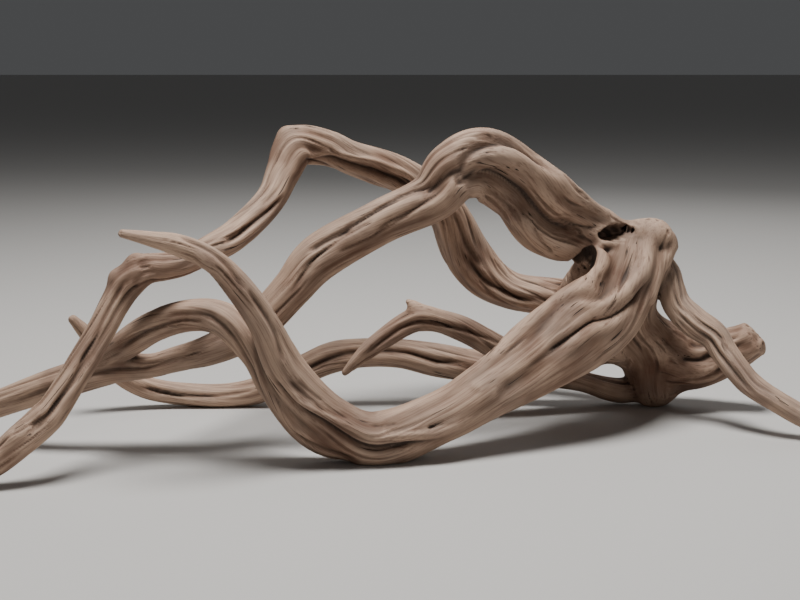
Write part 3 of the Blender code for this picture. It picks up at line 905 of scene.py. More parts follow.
@dataclass
class LimbShape:
    """The wood of one limb, measured from its smoothed centreline."""

    limb: Limb

    def __post_init__(self) -> None:
        """Smooths the limb's stations and turns its sections to face the front."""
        rows = self._even_rows()
        ahead = np.gradient(rows[:, :3], axis=0)
        ahead /= np.linalg.norm(ahead, axis=1)[:, None]
        front = FRONT - ahead * (ahead @ FRONT)[:, None]
        front /= np.linalg.norm(front, axis=1)[:, None]
        share = np.linspace(0.0, 1.0, len(rows))
        self.table = np.column_stack([rows, np.cross(ahead, front), front, ahead, share]).astype(np.float32)
        self.last = len(rows) - 1
        self.length = PATH_STEP * self.last
        self.reach = float(rows[:, 3:5].max())

    def _even_rows(self) -> np.ndarray:
        """The limb's stations on a smooth curve, a path step apart.

        Returns:
            Rows of x, y, z, half width and half thickness.
        """
        given = np.array(self.limb.stations, float)
        padded = np.vstack([2 * given[0] - given[1], given, 2 * given[-1] - given[-2]])
        curve = []
        for span in range(len(given) - 1):
            before, start, end, after = padded[span : span + 4]
            for share in np.arange(SAMPLES_PER_SPAN) / SAMPLES_PER_SPAN:
                slope = (end - before) * share
                square = (2 * before - 5 * start + 4 * end - after) * share**2
                cube = (3 * start - before - 3 * end + after) * share**3
                curve.append(0.5 * (2 * start + slope + square + cube))
        curve = np.array(curve + [given[-1]])
        steps = np.linalg.norm(np.diff(curve[:, :3], axis=0), axis=1)
        along = np.concatenate([[0.0], np.cumsum(steps)])
        wanted = np.linspace(0.0, along[-1], max(4, round(along[-1] / PATH_STEP) + 1))
        return np.column_stack([np.interp(wanted, along, curve[:, column]) for column in range(5)])

    def sections(self, place: np.ndarray) -> tuple[np.ndarray, ...]:
        """The sections at places along the path.

        Args:
            place: Places counted in path steps from the limb's fork.

        Returns:
            Their middle, half width, half thickness, axes up, front and ahead, and share along the limb.
        """
        low = np.clip(place.astype(np.int32), 0, self.last - 1)
        part = (place - low)[:, None].astype(np.float32)
        row = self.table[low] * (1.0 - part) + self.table[low + 1] * part
        return row[:, :3], row[:, 3], row[:, 4], row[:, 5:8], row[:, 8:11], row[:, 11:14], row[:, 14]

    def measure(self, points: np.ndarray, place: np.ndarray) -> tuple[np.ndarray, np.ndarray]:
        """How far points are outside the limb's wood, and where they are in its grain.

        Args:
            points: Places in millimetres, one to a row.
            place: The nearest place on the path to each, in path steps.

        Returns:
            The distance to the skin, negative inside, and the grain coordinates in millimetres.
        """
        here = self._stand(points, place)
        skin = np.ones(len(points), np.float32)
        for furrow in self.limb.furrows:
            skin -= FURROWS_LEFT * furrow.share_taken(here.share, here.angle)
        distance = (here.scaled - skin) * here.radius
        for knob in KNOBS:
            distance -= knob.height_at(points)
        return distance.astype(np.float32), self._grain(here)

    def _stand(self, points: np.ndarray, place: np.ndarray) -> Stand:
        """Finds where points stand in the sections of the limb.

        Args:
            points: Places in millimetres, one to a row.
            place: The nearest place on the path to each, in path steps.

        Returns:
            Where each point stands.
        """
        place = self._refined(points, place)
        middle, half_width, half_thickness, up, front, ahead, share = self.sections(place)
        away = points - middle
        across, through = (away * up).sum(axis=1), (away * front).sum(axis=1)
        past = (away * ahead).sum(axis=1)
        past[(place > 0.0) & (place < self.last)] = 0.0
        mean = 0.5 * (half_width + half_thickness)
        end = np.where(share > 0.5, self.limb.end_bluntness, 1.0) * mean
        wide, thick = across / half_width, through / half_thickness
        scaled = np.sqrt(wide**2 + thick**2 + (past / end) ** 2) + ROUNDING
        radius = (np.sqrt(across**2 + through**2 + past**2) + 10.0 * ROUNDING) / scaled
        return Stand(across, through, share, np.degrees(np.arctan2(thick, wide)), scaled, radius, mean)

    def _grain(self, here: Stand) -> np.ndarray:
        """Coordinates in which the fibres run straight along the third axis.

        Args:
            here: Where the points stand in the limb's sections.

        Returns:
            Millimetres across, through and along the grain.
        """
        spread = (GRAIN_RADIUS / here.mean) ** GRAIN_SPREAD
        turn = np.radians(self.limb.twist * here.share * self.length)
        cosine, sine = np.cos(turn), np.sin(turn)
        first = (here.across * cosine - here.through * sine) * spread
        second = (here.across * sine + here.through * cosine) * spread
        apart = GRAIN_APART * (1 + [limb.node for limb in LIMBS].index(self.limb.node))
        return np.stack([first + apart, second, here.share * self.length], axis=1)

    def _refined(self, points: np.ndarray, place: np.ndarray) -> np.ndarray:
        """Slides each place along the path until the section there passes through its point.

        Args:
            points: Places in millimetres, one to a row.
            place: A place on the path near each, in path steps.

        Returns:
            The place whose section holds the point.
        """
        middles, ahead = self.table[:, :3], self.table[:, 11:14]
        for _ in range(PLACE_PASSES):
            low = np.clip(place.astype(np.int32), 0, self.last - 1)
            past = ((points - middles[low]) * ahead[low]).sum(axis=1)
            short = ((middles[low + 1] - points) * ahead[low + 1]).sum(axis=1)
            step = past / np.maximum(past + short, SHORTEST_SPAN * PATH_STEP)
            place = np.clip(low + np.clip(step, *LONGEST_SLIDE), 0.0, self.last).astype(np.float32)
        return place

    def nearest(self, points: np.ndarray) -> np.ndarray:
        """The place on the path nearest to each point.

        Args:
            points: Places in millimetres, one to a row.

        Returns:
            Places counted in path steps from the limb's fork.
        """
        middles = self.table[:, :3]
        squares = (middles * middles).sum(axis=1)
        place = np.empty(len(points), np.float32)
        for start in range(0, len(points), POINTS_AT_ONCE):
            some = slice(start, start + POINTS_AT_ONCE)
            place[some] = (squares - 2.0 * points[some] @ middles.T).argmin(axis=1)
        return place

    def grow_into(self, volume: Volume) -> None:
        """Adds the limb's wood to the volume, with a fillet where it meets the wood already there.

        Args:
            volume: The volume to grow the limb in.
        """
        margin = self.reach + BAND
        middles = self.table[:, :3]
        whole = volume.box(middles.min(axis=0) - margin, middles.max(axis=0) + margin)
        shape = tuple(span.stop - span.start for span in whole)
        best = np.full(shape, FAR, np.float32)
        place = np.zeros(shape, np.float32)
        corner = [span.start for span in whole]
        for step in range(self.last):
            self._sweep_step(volume, step, best, place, corner)
        near = (best < BAND) & (best > -DEEPEST)
        best[near] = self.measure(volume.points(whole, near), place[near])[0]
        place[~near] = -1.0
        self.box, self.place = whole, place
        np.clip(best, -DEEPEST, BAND, out=best)
        old = volume.distance[whole]
        overlap = np.maximum(self.limb.fillet - np.abs(old - best), 0.0)
        volume.distance[whole] = np.minimum(old, best) - overlap**2 / (4.0 * self.limb.fillet)

    def fold_in(self, volume: Volume) -> None:
        """Cuts the limb's creases into the skin of the volume, through the bundles that run over it.

        Args:
            volume: The volume that the limb has grown in.
        """
        near = (np.abs(volume.distance[self.box]) < BAND) & (self.place >= 0.0)
        here = self._stand(volume.points(self.box, near), self.place[near])
        depth = sum(fold.depth_at(here.share, here.angle, here.radius) for fold in self.limb.folds)
        proud = np.maximum((here.scaled - 1.0) * here.radius - FOLD_REACH, 0.0) / FOLD_REACH
        volume.distance[self.box][near] += (depth * np.exp(-(proud**2))).astype(np.float32)

    def _sweep_step(
        self, volume: Volume, step: int, best: np.ndarray, place: np.ndarray, corner: list[int]
    ) -> None:
        """Keeps, at each sample round one path step, the step if it is the nearest so far.

        Args:
            volume: The volume that the limb grows in.
            step: The path step.
            best: The distance to the limb's plain oval so far, changed in place.
            place: The place on the path that gave it, changed in place.
            corner: The volume index of the first sample in best.
        """
        row, after = self.table[step].astype(float), self.table[step + 1].astype(float)
        margin = max(row[3], row[4], after[3], after[4]) + BAND
        low, high = np.minimum(row[:3], after[:3]) - margin, np.maximum(row[:3], after[:3]) + margin
        box = volume.box(low, high)
        local = tuple(slice(span.start - first, span.stop - first) for span, first in zip(box, corner))
        x, y, z = (line - np.float32(start) for line, start in zip(volume.axes(box), row[:3]))
        along = after[:3] - row[:3]
        length = float(np.linalg.norm(along))
        share = np.clip((x * along[0] + y * along[1] + z * along[2]) / length**2, 0.0, 1.0).astype(np.float32)
        mean = 0.5 * (row + after)
        size = 0.5 * (mean[3] + mean[4])
        total = np.zeros(share.shape, np.float32)
        for axis, half in ((mean[5:8], mean[3]), (mean[8:11], mean[4]), (along / length, size)):
            offset = x * axis[0] + y * axis[1] + z * axis[2] - share * np.float32(along @ axis)
            total += (offset / half).astype(np.float32) ** 2
        distance = (np.sqrt(total) - 1.0) * np.float32(size)
        better = distance < best[local]
        best[local][better] = distance[better]
        place[local][better] = (share + np.float32(step))[better]


@dataclass
class Skin:
    """The skin of the grown-together wood: its points, quads and what the finish reads from it."""

    points: np.ndarray
    quads: np.ndarray
    owner: np.ndarray = field(init=False)
    grain: dict[Grain, np.ndarray] = field(init=False)
    weights: np.ndarray = field(init=False)
    normals: np.ndarray = field(init=False)
    # How worn each point is, and the painted shade of the folds and hollows.
    wear_and_shade: dict[str, np.ndarray] = field(init=False)

    def vectors(self) -> dict[str, np.ndarray]:
        """The grain coordinates and their weights at each point, by attribute name."""
        return {grain.attribute: self.grain[grain] for grain in Grain} | {WEIGHTS: self.weights}

    def read_limbs(self, shapes: list[LimbShape]) -> None:
        """Finds the limb that owns each point and its place in the grain of the limbs near it.

        Args:
            shapes: The shaped limbs.
        """
        count = len(self.points)
        nearest = np.full((count, len(Grain)), FAR, np.float32)
        self.grain = {grain: np.zeros((count, 3), np.float32) for grain in Grain}
        self.owner = np.zeros(count, np.int32)
        lowest = np.full(count, FAR, np.float32)
        for number, shape in enumerate(shapes):
            middles = shape.table[:, :3]
            margin = shape.reach + BAND
            low, high = middles.min(axis=0) - margin, middles.max(axis=0) + margin
            near = np.nonzero(((self.points > low) & (self.points < high)).all(axis=1))[0]
            distance, grain = shape.measure(self.points[near], shape.nearest(self.points[near]))
            channel = shape.limb.grain
            yielded = distance + shape.limb.grain_yields
            closer = yielded < nearest[near, channel.value]
            nearest[near[closer], channel.value] = yielded[closer]
            self.grain[channel][near[closer]] = grain[closer]
            owned = distance < lowest[near]
            lowest[near[owned]] = distance[owned]
            self.owner[near[owned]] = number
        further = np.clip(nearest - nearest.min(axis=1)[:, None], 0.0, WEIGHTLESS)
        share = np.exp(-further / SECTION_BLEND)
        self.weights = share / share.sum(axis=1)[:, None]


def grown_volume(shapes: list[LimbShape]) -> Volume:
    """Grows every limb into one volume, hollows out the rotten places and wears the underside flat.

    Args:
        shapes: The shaped limbs.

    Returns:
        The volume of distances to the skin.
    """
    middles = np.vstack([shape.table[:, :3] for shape in shapes])
    reach = max(shape.reach for shape in shapes)
    low = middles.min(axis=0) - 0.5 * reach
    high = middles.max(axis=0) + reach
    low[2] = -AIR_BELOW * VOXEL
    count = np.ceil((high - low) / VOXEL).astype(int) + 1
    volume = Volume(low, tuple(count.tolist()))
    for shape in [*shapes, *(LimbShape(bundle) for bundle in TENDONS)]:
        shape.grow_into(volume)
    for shape in shapes:
        if shape.limb.folds:
            shape.fold_in(volume)
    for hollow in HOLLOWS:
        place = np.array(hollow.place, float)
        margin = max(hollow.half_sizes) + hollow.lip + HOLLOW_MARGIN
        box = volume.box(place - margin, place + margin)
        x, y, z = np.broadcast_arrays(*volume.axes(box))
        points = np.stack([x.ravel(), y.ravel(), z.ravel()], axis=1)
        carved = -hollow.distance(points).reshape(x.shape)
        old = volume.distance[box]
        overlap = np.maximum(hollow.lip - np.abs(old - carved), 0.0)
        volume.distance[box] = np.maximum(old, carved) + overlap**2 / (4.0 * hollow.lip)
    heights = low[2] + VOXEL * np.arange(count[2])
    np.maximum(volume.distance, -heights.astype(np.float32), out=volume.distance)
    return volume


def skin_of(volume: Volume) -> Skin:
    """Meshes the one connected skin of the volume with quads that face outwards.

    Args:
        volume: The volume of distances to the skin.

    Returns:
        The skin, with nothing read from the limbs yet.
    """
    grid = openvdb.FloatGrid(background=THIN_BAND)
    grid.copyFromArray(np.clip(volume.distance, -THIN_BAND, THIN_BAND))
    points, quads = grid.convertToQuads(isovalue=0.0)
    points = (points * VOXEL + volume.low).astype(np.float32)
    links = np.concatenate([quads[:, [side, side + 1]] for side in range(3)])
    group = groups_of(len(points), links[:, 0], links[:, 1])
    whole = group == np.bincount(group).argmax()
    used, index = np.unique(quads[whole[quads[:, 0]]], return_inverse=True)
    points, quads = points[used], index.reshape(-1, 4)
    corners = points[quads[:, :3]].astype(float)
    if np.einsum("ij,ij->i", corners[:, 0], np.cross(corners[:, 1], corners[:, 2])).sum() < 0.0:
        quads = quads[:, ::-1]
    return Skin(points, quads.astype(np.int32))


def groups_of(count: int, first: np.ndarray, second: np.ndarray) -> np.ndarray:
    """Numbers the connected groups of a set of items.

    Args:
        count: How many items there are.
        first: One end of each link between two items.
        second: The other end of each link.

    Returns:
        The lowest item of each item's group.
    """
    root = np.arange(count)
    while True:
        low = np.minimum(root[first], root[second])
        before = root.copy()
        np.minimum.at(root, root[first], low)
        np.minimum.at(root, root[second], low)
        while True:
            shorter = root[root]
            if np.array_equal(shorter, root):
                break
            root = shorter
        if np.array_equal(before, root):
            return root


def add_node(
    tree: bpy.types.NodeTree,
    kind: str,
    inputs: dict[int | str, object] | tuple[object, ...] = (),
    **settings: object,
) -> bpy.types.Node:
    """Adds a node with its settings, values and links.

    Args:
        tree: The node tree.
        kind: The node's type name.
        inputs: A value, a socket or a node for each input, in order or by name or number. A node stands for
            its first output.
        settings: Properties of the node.

    Returns:
        The node.
    """
    node = tree.nodes.new(kind)
    for name, value in settings.items():
        setattr(node, name, value)
    for key, value in inputs.items() if isinstance(inputs, dict) else enumerate(inputs):
        if isinstance(value, bpy.types.Node):
            value = value.outputs[0]
        if isinstance(value, bpy.types.NodeSocket):
            tree.links.new(value, node.inputs[key])
        else:
            node.inputs[key].default_value = value
    return node


@dataclass(frozen=True)
class Strands:
    """Noise that is drawn out along the grain, as wide and long as it says, in millimetres.

    Detail is how many finer octaves it has, and warp how far it wanders, as a share of its width.
    """

    width: float
    length: float
    detail: float
    warp: float

    def noise(self, tree: bpy.types.NodeTree, coordinates: object) -> bpy.types.Node:
        """Adds the noise to a shader tree or a Geometry Nodes tree.

        Args:
            tree: The tree.
            coordinates: The socket or node of the grain coordinates, in millimetres.

        Returns:
            The noise, from 0 to 1.
        """
        scale = (1.0 / self.width, 1.0 / self.width, 1.0 / self.length)
        inputs = {
            "Vector": add_node(tree, VECTOR_MATH, (coordinates, scale), operation="MULTIPLY"),
            "Scale": 1.0,
            "Detail": self.detail,
            "Roughness": NOISE_ROUGHNESS,
            "Distortion": self.warp,
        }
        return add_node(tree, NOISE, inputs, noise_dimensions="3D", normalize=True)


@dataclass(frozen=True)
class GrainRelief:
    """The long ridges, creases and fibre bands that weather leaves on root wood. Heights are millimetres."""

    muscles: Strands = Strands(12.0, 120.0, detail=1.0, warp=0.3)
    muscle_height: float = 2.0
    creases: Strands = Strands(5.0, 90.0, detail=0.5, warp=0.15)
    crease_depth: float = 1.1
    crease_level: float = 0.58
    crease_softness: float = 0.14
    fibres: Strands = Strands(4.0, 60.0, detail=0.5, warp=0.2)
    fibre_height: float = 0.35

    def tree(self) -> bpy.types.NodeTree:
        """Builds the tree that pushes the skin in and out along its normals.

        Returns:
            The Geometry Nodes tree, with its sizes as named inputs.
        """
        tree = bpy.data.node_groups.new("long_grain_relief", "GeometryNodeTree")
        add = partial(add_node, tree)
        interface = tree.interface
        interface.new_socket("Geometry", in_out="INPUT", socket_type="NodeSocketGeometry")
        for name, value in self.inputs().items():
            interface.new_socket(name, in_out="INPUT", socket_type="NodeSocketFloat").default_value = value
        interface.new_socket("Material", in_out="INPUT", socket_type="NodeSocketMaterial")
        interface.new_socket("Geometry", in_out="OUTPUT", socket_type="NodeSocketGeometry")
        given = add("NodeGroupInput")
        shares = add(SEPARATE, (add(NAMED_ATTRIBUTE, (WEIGHTS,), data_type="FLOAT_VECTOR"),))
        total: object = 0.0
        for grain in Grain:
            coordinates = add(NAMED_ATTRIBUTE, (grain.attribute,), data_type="FLOAT_VECTOR")
            height = self._height(tree, coordinates, given)
            total = add(MATH, (height, shares.outputs[grain.value], total), operation="MULTIPLY_ADD")
        scaled = add(MATH, (total, MM), operation="MULTIPLY")
        push = add(VECTOR_MATH, {0: add("GeometryNodeInputNormal"), "Scale": scaled}, operation="SCALE")
        moved = add("GeometryNodeSetPosition", {"Geometry": given, "Offset": push})
        real = add("GeometryNodeRealizeInstances", {"Geometry": moved})
        dressed = add("GeometryNodeSetMaterial", {"Geometry": real, "Material": given.outputs["Material"]})
        add("NodeGroupOutput", {"Geometry": dressed})
        return tree

    def inputs(self) -> dict[str, float]:
        """The heights that the tree takes as named inputs, in millimetres."""
        return {
            "Muscle height": self.muscle_height,
            "Crease depth": self.crease_depth,
            "Fibre height": self.fibre_height,
        }

    def _height(
        self, tree: bpy.types.NodeTree, coordinates: bpy.types.Node, given: bpy.types.Node
    ) -> bpy.types.Node:
        """The height of the relief in one set of grain coordinates.

        Args:
            tree: The Geometry Nodes tree.
            coordinates: The grain coordinates, in millimetres.
            given: The node that holds the tree's inputs.

        Returns:
            The height, in millimetres.
        """
        add = partial(add_node, tree)
        crease = self.creases.noise(tree, coordinates)
        levels = (self.crease_level, self.crease_level + self.crease_softness)
        edge = add(MAP_RANGE, (crease, *levels, 0.0, -1.0), interpolation_type="SMOOTHSTEP")
        total = add(MATH, (edge, given.outputs["Crease depth"]), operation="MULTIPLY")
        for strands, height in ((self.muscles, "Muscle height"), (self.fibres, "Fibre height")):
            swell = add(MATH, (strands.noise(tree, coordinates), 0.5), operation="SUBTRACT")
            total = add(MATH, (swell, given.outputs[height], total), operation="MULTIPLY_ADD")
        return total


def linear(colour: str) -> tuple[float, float, float, float]:
    """Turns an sRGB hex colour into a linear one.

    Args:
        colour: Six hex digits.

    Returns:
        Linear red, green and blue, and an alpha of 1.
    """
    parts = [int(colour[start : start + 2], 16) / 255.0 for start in (0, 2, 4)]
    shades = [part / 12.92 if part <= 0.04045 else ((part + 0.055) / 1.055) ** 2.4 for part in parts]
    return *shades, 1.0


@dataclass(frozen=True)
class WeatheredWood:
    """Bare root wood, tumbled by water and dried in the sun.

    The eye sees a matte skin in long silvery-tan bands, pale where ridges are worn, with dark drying cracks.
    The folds and hollows are darkened with painted shade. Levels are the heights of a noise between which its
    colour comes in, and shares are how much of it then shows. Sizes and depths are in millimetres.
    """

    name: str
    pale: str = "B89B85"
    middle: str = "684D3C"
    warm: str = "624030"
    grey: str = "7E6F64"
    # The colour of the drying cracks and of the painted shade in the folds and hollows.
    dark: str = "1F140F"
    bands: Strands = Strands(7.0, 110.0, detail=3.0, warp=0.4)
    band_contrast: float = 1.6
    paleness: float = 0.34
    ridge_wear: float = 0.7
    patch_size: float = 55.0
    patch_contrast: float = 0.9
    warm_levels: Span = (0.52, 0.30)
    warm_share: float = 0.55
    greyed_size: float = 38.5
    grey_levels: Span = (0.42, 0.66)
    grey_share: float = 0.35
    fibres: Strands = Strands(1.0, 36.0, detail=3.0, warp=0.2)
    streak_levels: Span = (0.50, 0.30)
    streak_share: float = 0.55
    # How strongly the painted shade darkens the folds and hollows.
    fold_shade_share: float = 0.85
    cracks: Strands = Strands(1.7, 110.0, detail=1.0, warp=0.15)
    crack_levels: Span = (0.675, 0.715)
    cracked_size: float = 40.0
    cracked_levels: Span = (0.49, 0.58)
    fibre_bump: float = 0.55
    bump_depth: float = 0.8
    roughness: float = 0.74
    specular: float = 0.35

    def material(self) -> bpy.types.Material:
        """Builds the finish.

        Returns:
            The material, which reads the skin's own attributes.
        """
        material = bpy.data.materials.new(self.name)
        material.use_nodes = True
        tree = material.node_tree
        add = partial(add_node, tree)
        fibres = self._along_grain(tree, self.fibres)
        patches = self._patches(tree, self.patch_size, 0.0)
        greyed = self._patches(tree, self.greyed_size, GREYED_SHIFT)
        # The painted shade of the folds and hollows, read from the skin.
        fold = add(ATTRIBUTE, attribute_name="fold").outputs["Fac"]
        crack = self._crack(tree)
        coats = (
            (self._worn(tree, patches), self.pale),
            (add(MAP_RANGE, (patches, *self.warm_levels, 0.0, self.warm_share)), self.warm),
            (add(MAP_RANGE, (greyed, *self.grey_levels, 0.0, self.grey_share)), self.grey),
            (add(MAP_RANGE, (fibres, *self.streak_levels, 0.0, self.streak_share)), self.warm),
            # Painted shade: the folds and hollows are mixed towards the dark colour.
            (add(MATH, (fold, self.fold_shade_share), operation="MULTIPLY"), self.dark),
            (crack, self.dark),
        )
        colour: object = linear(self.middle)
        for share, shade in coats:
            inputs = {"Factor": share, 6: colour, 7: linear(shade)}
            colour = add("ShaderNodeMix", inputs, data_type="RGBA", clamp_factor=True).outputs[2]
        sunk = add(MATH, (crack, -1.0), operation="MULTIPLY")
        height = add(MATH, (fibres, self.fibre_bump, sunk), operation="MULTIPLY_ADD")
        bump = add("ShaderNodeBump", {"Height": height, "Distance": self.bump_depth * MM, "Strength": 1.0})
        shader = tree.nodes["Principled BSDF"]
        tree.links.new(colour, shader.inputs["Base Color"])
        tree.links.new(bump.outputs[0], shader.inputs["Normal"])
        shader.inputs["Roughness"].default_value = self.roughness
        shader.inputs["Specular IOR Level"].default_value = self.specular
        return material

    def _worn(self, tree: bpy.types.NodeTree, patches: bpy.types.Node) -> bpy.types.Node:
        """How far the wood is worn pale: in bands, on its ridges and in patches.

        Args:
            tree: The material's node tree.
            patches: The patches across the branch.

        Returns:
            The share that it is worn pale, about 0 to 1.
        """
        add = partial(add_node, tree)
        bands = add(MATH, (self._along_grain(tree, self.bands), 0.5), operation="SUBTRACT")
        worn = add(MATH, (bands, self.band_contrast, self.paleness), operation="MULTIPLY_ADD")
        ridge = add(ATTRIBUTE, attribute_name="ridge").outputs["Fac"]
        worn = add(MATH, (ridge, self.ridge_wear, worn), operation="MULTIPLY_ADD")
        patchy = add(MATH, (patches, 0.5), operation="SUBTRACT")
        return add(MATH, (patchy, self.patch_contrast, worn), operation="MULTIPLY_ADD")

    def _crack(self, tree: bpy.types.NodeTree) -> bpy.types.Node:
        """Short drying cracks along the grain, which open at the peaks of a noise and in patches.

        Args:
            tree: The material's node tree.

        Returns:
            The cracks, 1 inside one.
        """
        add = partial(add_node, tree)
        splits = self._along_grain(tree, self.cracks)
        line = add(MAP_RANGE, (splits, *self.crack_levels), interpolation_type="SMOOTHSTEP")
        cracked = self._patches(tree, self.cracked_size, CRACKED_SHIFT)
        opened = add(MAP_RANGE, (cracked, *self.cracked_levels))
        return add(MATH, (line, opened), operation="MULTIPLY")

    def _along_grain(self, tree: bpy.types.NodeTree, strands: Strands) -> object:
        """Strands that follow each limb and give way to its neighbour's at a fork.

        Args:
            tree: The material's node tree.
            strands: The strands.

        Returns:
            The noise, from 0 to 1.
        """
        add = partial(add_node, tree)
        shares = add(SEPARATE, (add(ATTRIBUTE, attribute_name=WEIGHTS).outputs["Vector"],))
        total: object = 0.0
        for grain in Grain:
            noise = strands.noise(tree, add(ATTRIBUTE, attribute_name=grain.attribute).outputs["Vector"])
            total = add(MATH, (noise, shares.outputs[grain.value], total), operation="MULTIPLY_ADD")
        return total

    def _patches(self, tree: bpy.types.NodeTree, size: float, shift: float) -> bpy.types.Node:
        """Soft patches across the whole branch.

        Args:
            tree: The material's node tree.
            size: The size of a patch, in millimetres.
            shift: Moves the pattern, so that two sets of patches differ.

        Returns:
            The patches, from 0 to 1.
        """
        place = add_node(tree, "ShaderNodeTexCoord").outputs["Object"]
        moved = add_node(tree, VECTOR_MATH, (place, (shift, shift, shift)), operation="ADD")
        inputs = {
            "Vector": moved,
            "Scale": 1.0 / (size * MM),
            "Detail": PATCH_DETAIL,
            "Roughness": NOISE_ROUGHNESS,
        }
        return add_node(tree, NOISE, inputs)


WOODS = {
    "weathered_wood": WeatheredWood("weathered_root_wood"),
    "burl_wood": WeatheredWood(
        "weathered_burl", cracked_size=20.0, bands=Strands(7.0, 70.0, detail=3.0, warp=0.4)
    ),
    "grey_wood": WeatheredWood("greyed_root_wood", grey_share=0.6, middle="7F6A5C"),
}


@dataclass
class DriftwoodBranch:
    """The branch: its limbs are grown together, carved with grain and parted at the forks."""

    relief: GrainRelief = GrainRelief()

    def __post_init__(self) -> None:
        """Shapes the limbs and makes the finishes."""
        self.shapes = [LimbShape(limb) for limb in LIMBS]
        self.materials = {slot: wood.material() for slot, wood in WOODS.items()}

    def build(self) -> list[bpy.types.Object]:
        """Builds and dresses every piece.

        Returns:
            One object for each limb.
        """
        skin = skin_of(grown_volume(self.shapes))
        skin.read_limbs(self.shapes)
        self._carve(skin)
        self._wear_and_shade(skin)
        owner = self._faces_by_limb(skin)
        pieces = []
        for number, limb in enumerate(LIMBS):
            piece = self._piece(limb, skin, skin.quads[owner == number])
            pieces.append(piece)
            triangles = sum(len(face.vertices) - 2 for face in piece.data.polygons)
            logging.info("%s: %d triangles", piece.name, triangles)
        return pieces

    def _carve(self, skin: Skin) -> None:
        """Carves the long grain into the skin with Geometry Nodes.

        Args:
            skin: The skin of the volume, which is given its carved points and their normals.
        """
        mesh = new_mesh("branch_skin", skin.points, skin.quads)
        for name, values in skin.vectors().items():
            write_vectors(mesh, name, values)
        whole = bpy.data.objects.new("branch_skin", mesh)
        bpy.context.scene.collection.objects.link(whole)
        modifier = whole.modifiers.new("long_grain", "NODES")
        modifier.node_group = self.relief.tree()
        settings = {**self.relief.inputs(), "Material": self.materials["weathered_wood"]}
        for item in modifier.node_group.interface.items_tree:
            if item.in_out == "INPUT" and item.name in settings:
                modifier[item.identifier] = settings[item.name]
        bpy.context.view_layer.update()
        graph = bpy.context.evaluated_depsgraph_get()
        carved = bpy.data.meshes.new_from_object(whole.evaluated_get(graph))
        bpy.data.objects.remove(whole)
        points = np.empty(len(carved.vertices) * 3, np.float32)
        carved.vertices.foreach_get("co", points)
        points = points.reshape(-1, 3) / MM
        points[:, 2] = np.maximum(points[:, 2], 0.0)
        carved.vertices.foreach_set("co", (points * MM).ravel())
        carved.update()
        normals = np.empty(len(carved.vertices) * 3, np.float32)
        carved.vertex_normals.foreach_get("vector", normals)
        bpy.data.meshes.remove(carved)
        skin.points, skin.normals = points, normals.reshape(-1, 3)

    def _wear_and_shade(self, skin: Skin) -> None:
        """Measures how far each point stands out of the skin round it, or lies in a fold.

        The deeper a point lies in a fold, and the nearer it is to a hollow, the darker the painted shade that
        the finish gives it.

        Args:
            skin: The carved skin, which is given how worn each point is and how deep in a fold, as painted
                shade,
            from 0 to 1.
        """
        points = skin.points
        first = np.concatenate([skin.quads[:, corner] for corner in range(4)])
        second = np.concatenate([skin.quads[:, (corner + 1) % 4] for corner in range(4)])
        count = np.bincount(first, minlength=len(points)).astype(np.float32)
        smooth = points.copy()
        stands = []
        for step in range(1, BROAD_PASSES + 1):
            summed = [np.bincount(first, smooth[second, axis], minlength=len(points)) for axis in range(3)]
            middle = (np.stack(summed, axis=1) / count[:, None]).astype(np.float32)
            smooth = (1.0 - SMOOTHING) * smooth + SMOOTHING * middle
            if step in (FINE_PASSES, BROAD_PASSES):
                stands.append(((points - smooth) * skin.normals).sum(axis=1))
        fine, broad = stands
        height = fine / FINE_RELIEF + broad / BROAD_RELIEF
        # Painted shade: the deeper a point lies in a fold, the darker the finish paints it.
        fold = np.clip(-FOLD_SHADE_RATE * height - FOLD_SHADE_SPARED, 0.0, 1.0)
        # Painted shade in and round the hollows, as dark as each hollow's strength says.
        for hollow in HOLLOWS:
            near = np.clip(1.0 - hollow.distance(points) / HOLLOW_SHADE_SPREAD, 0.0, 1.0)
            fold = np.maximum(fold, hollow.rot * near)
        skin.wear_and_shade = {"ridge": np.clip(height, 0.0, 1.0), "fold": fold}

    def _faces_by_limb(self, skin: Skin) -> np.ndarray:
        """Gives each face to one limb, in one connected patch for each limb.

        Args:
            skin: The skin of the volume.

        Returns:
            The number of the limb that owns each face.
        """
        owner = skin.owner[skin.quads].min(axis=1)
        edges = np.concatenate([skin.quads[:, [side, (side + 1) % 4]] for side in range(4)])
        edges.sort(axis=1)
        faces = np.tile(np.arange(len(owner)), 4)
        order = np.lexsort((edges[:, 1], edges[:, 0]))
        edges, faces = edges[order], faces[order]
        same = (edges[1:] == edges[:-1]).all(axis=1)
        first, second = faces[:-1][same], faces[1:][same]
        for _ in range(STRAY_PASSES):
            linked = owner[first] == owner[second]
            group = groups_of(len(owner), first[linked], second[linked])
            size = np.bincount(group, minlength=len(owner))
            largest = np.zeros(len(LIMBS), int)
            np.maximum.at(largest, owner, size[group])
            stray = size[group] < largest[owner]
            if not stray.any():
                break
            for one, other in ((first, second), (second, first)):
                moves = stray[one] & ~stray[other]
                owner[one[moves]] = owner[other[moves]]
        return owner

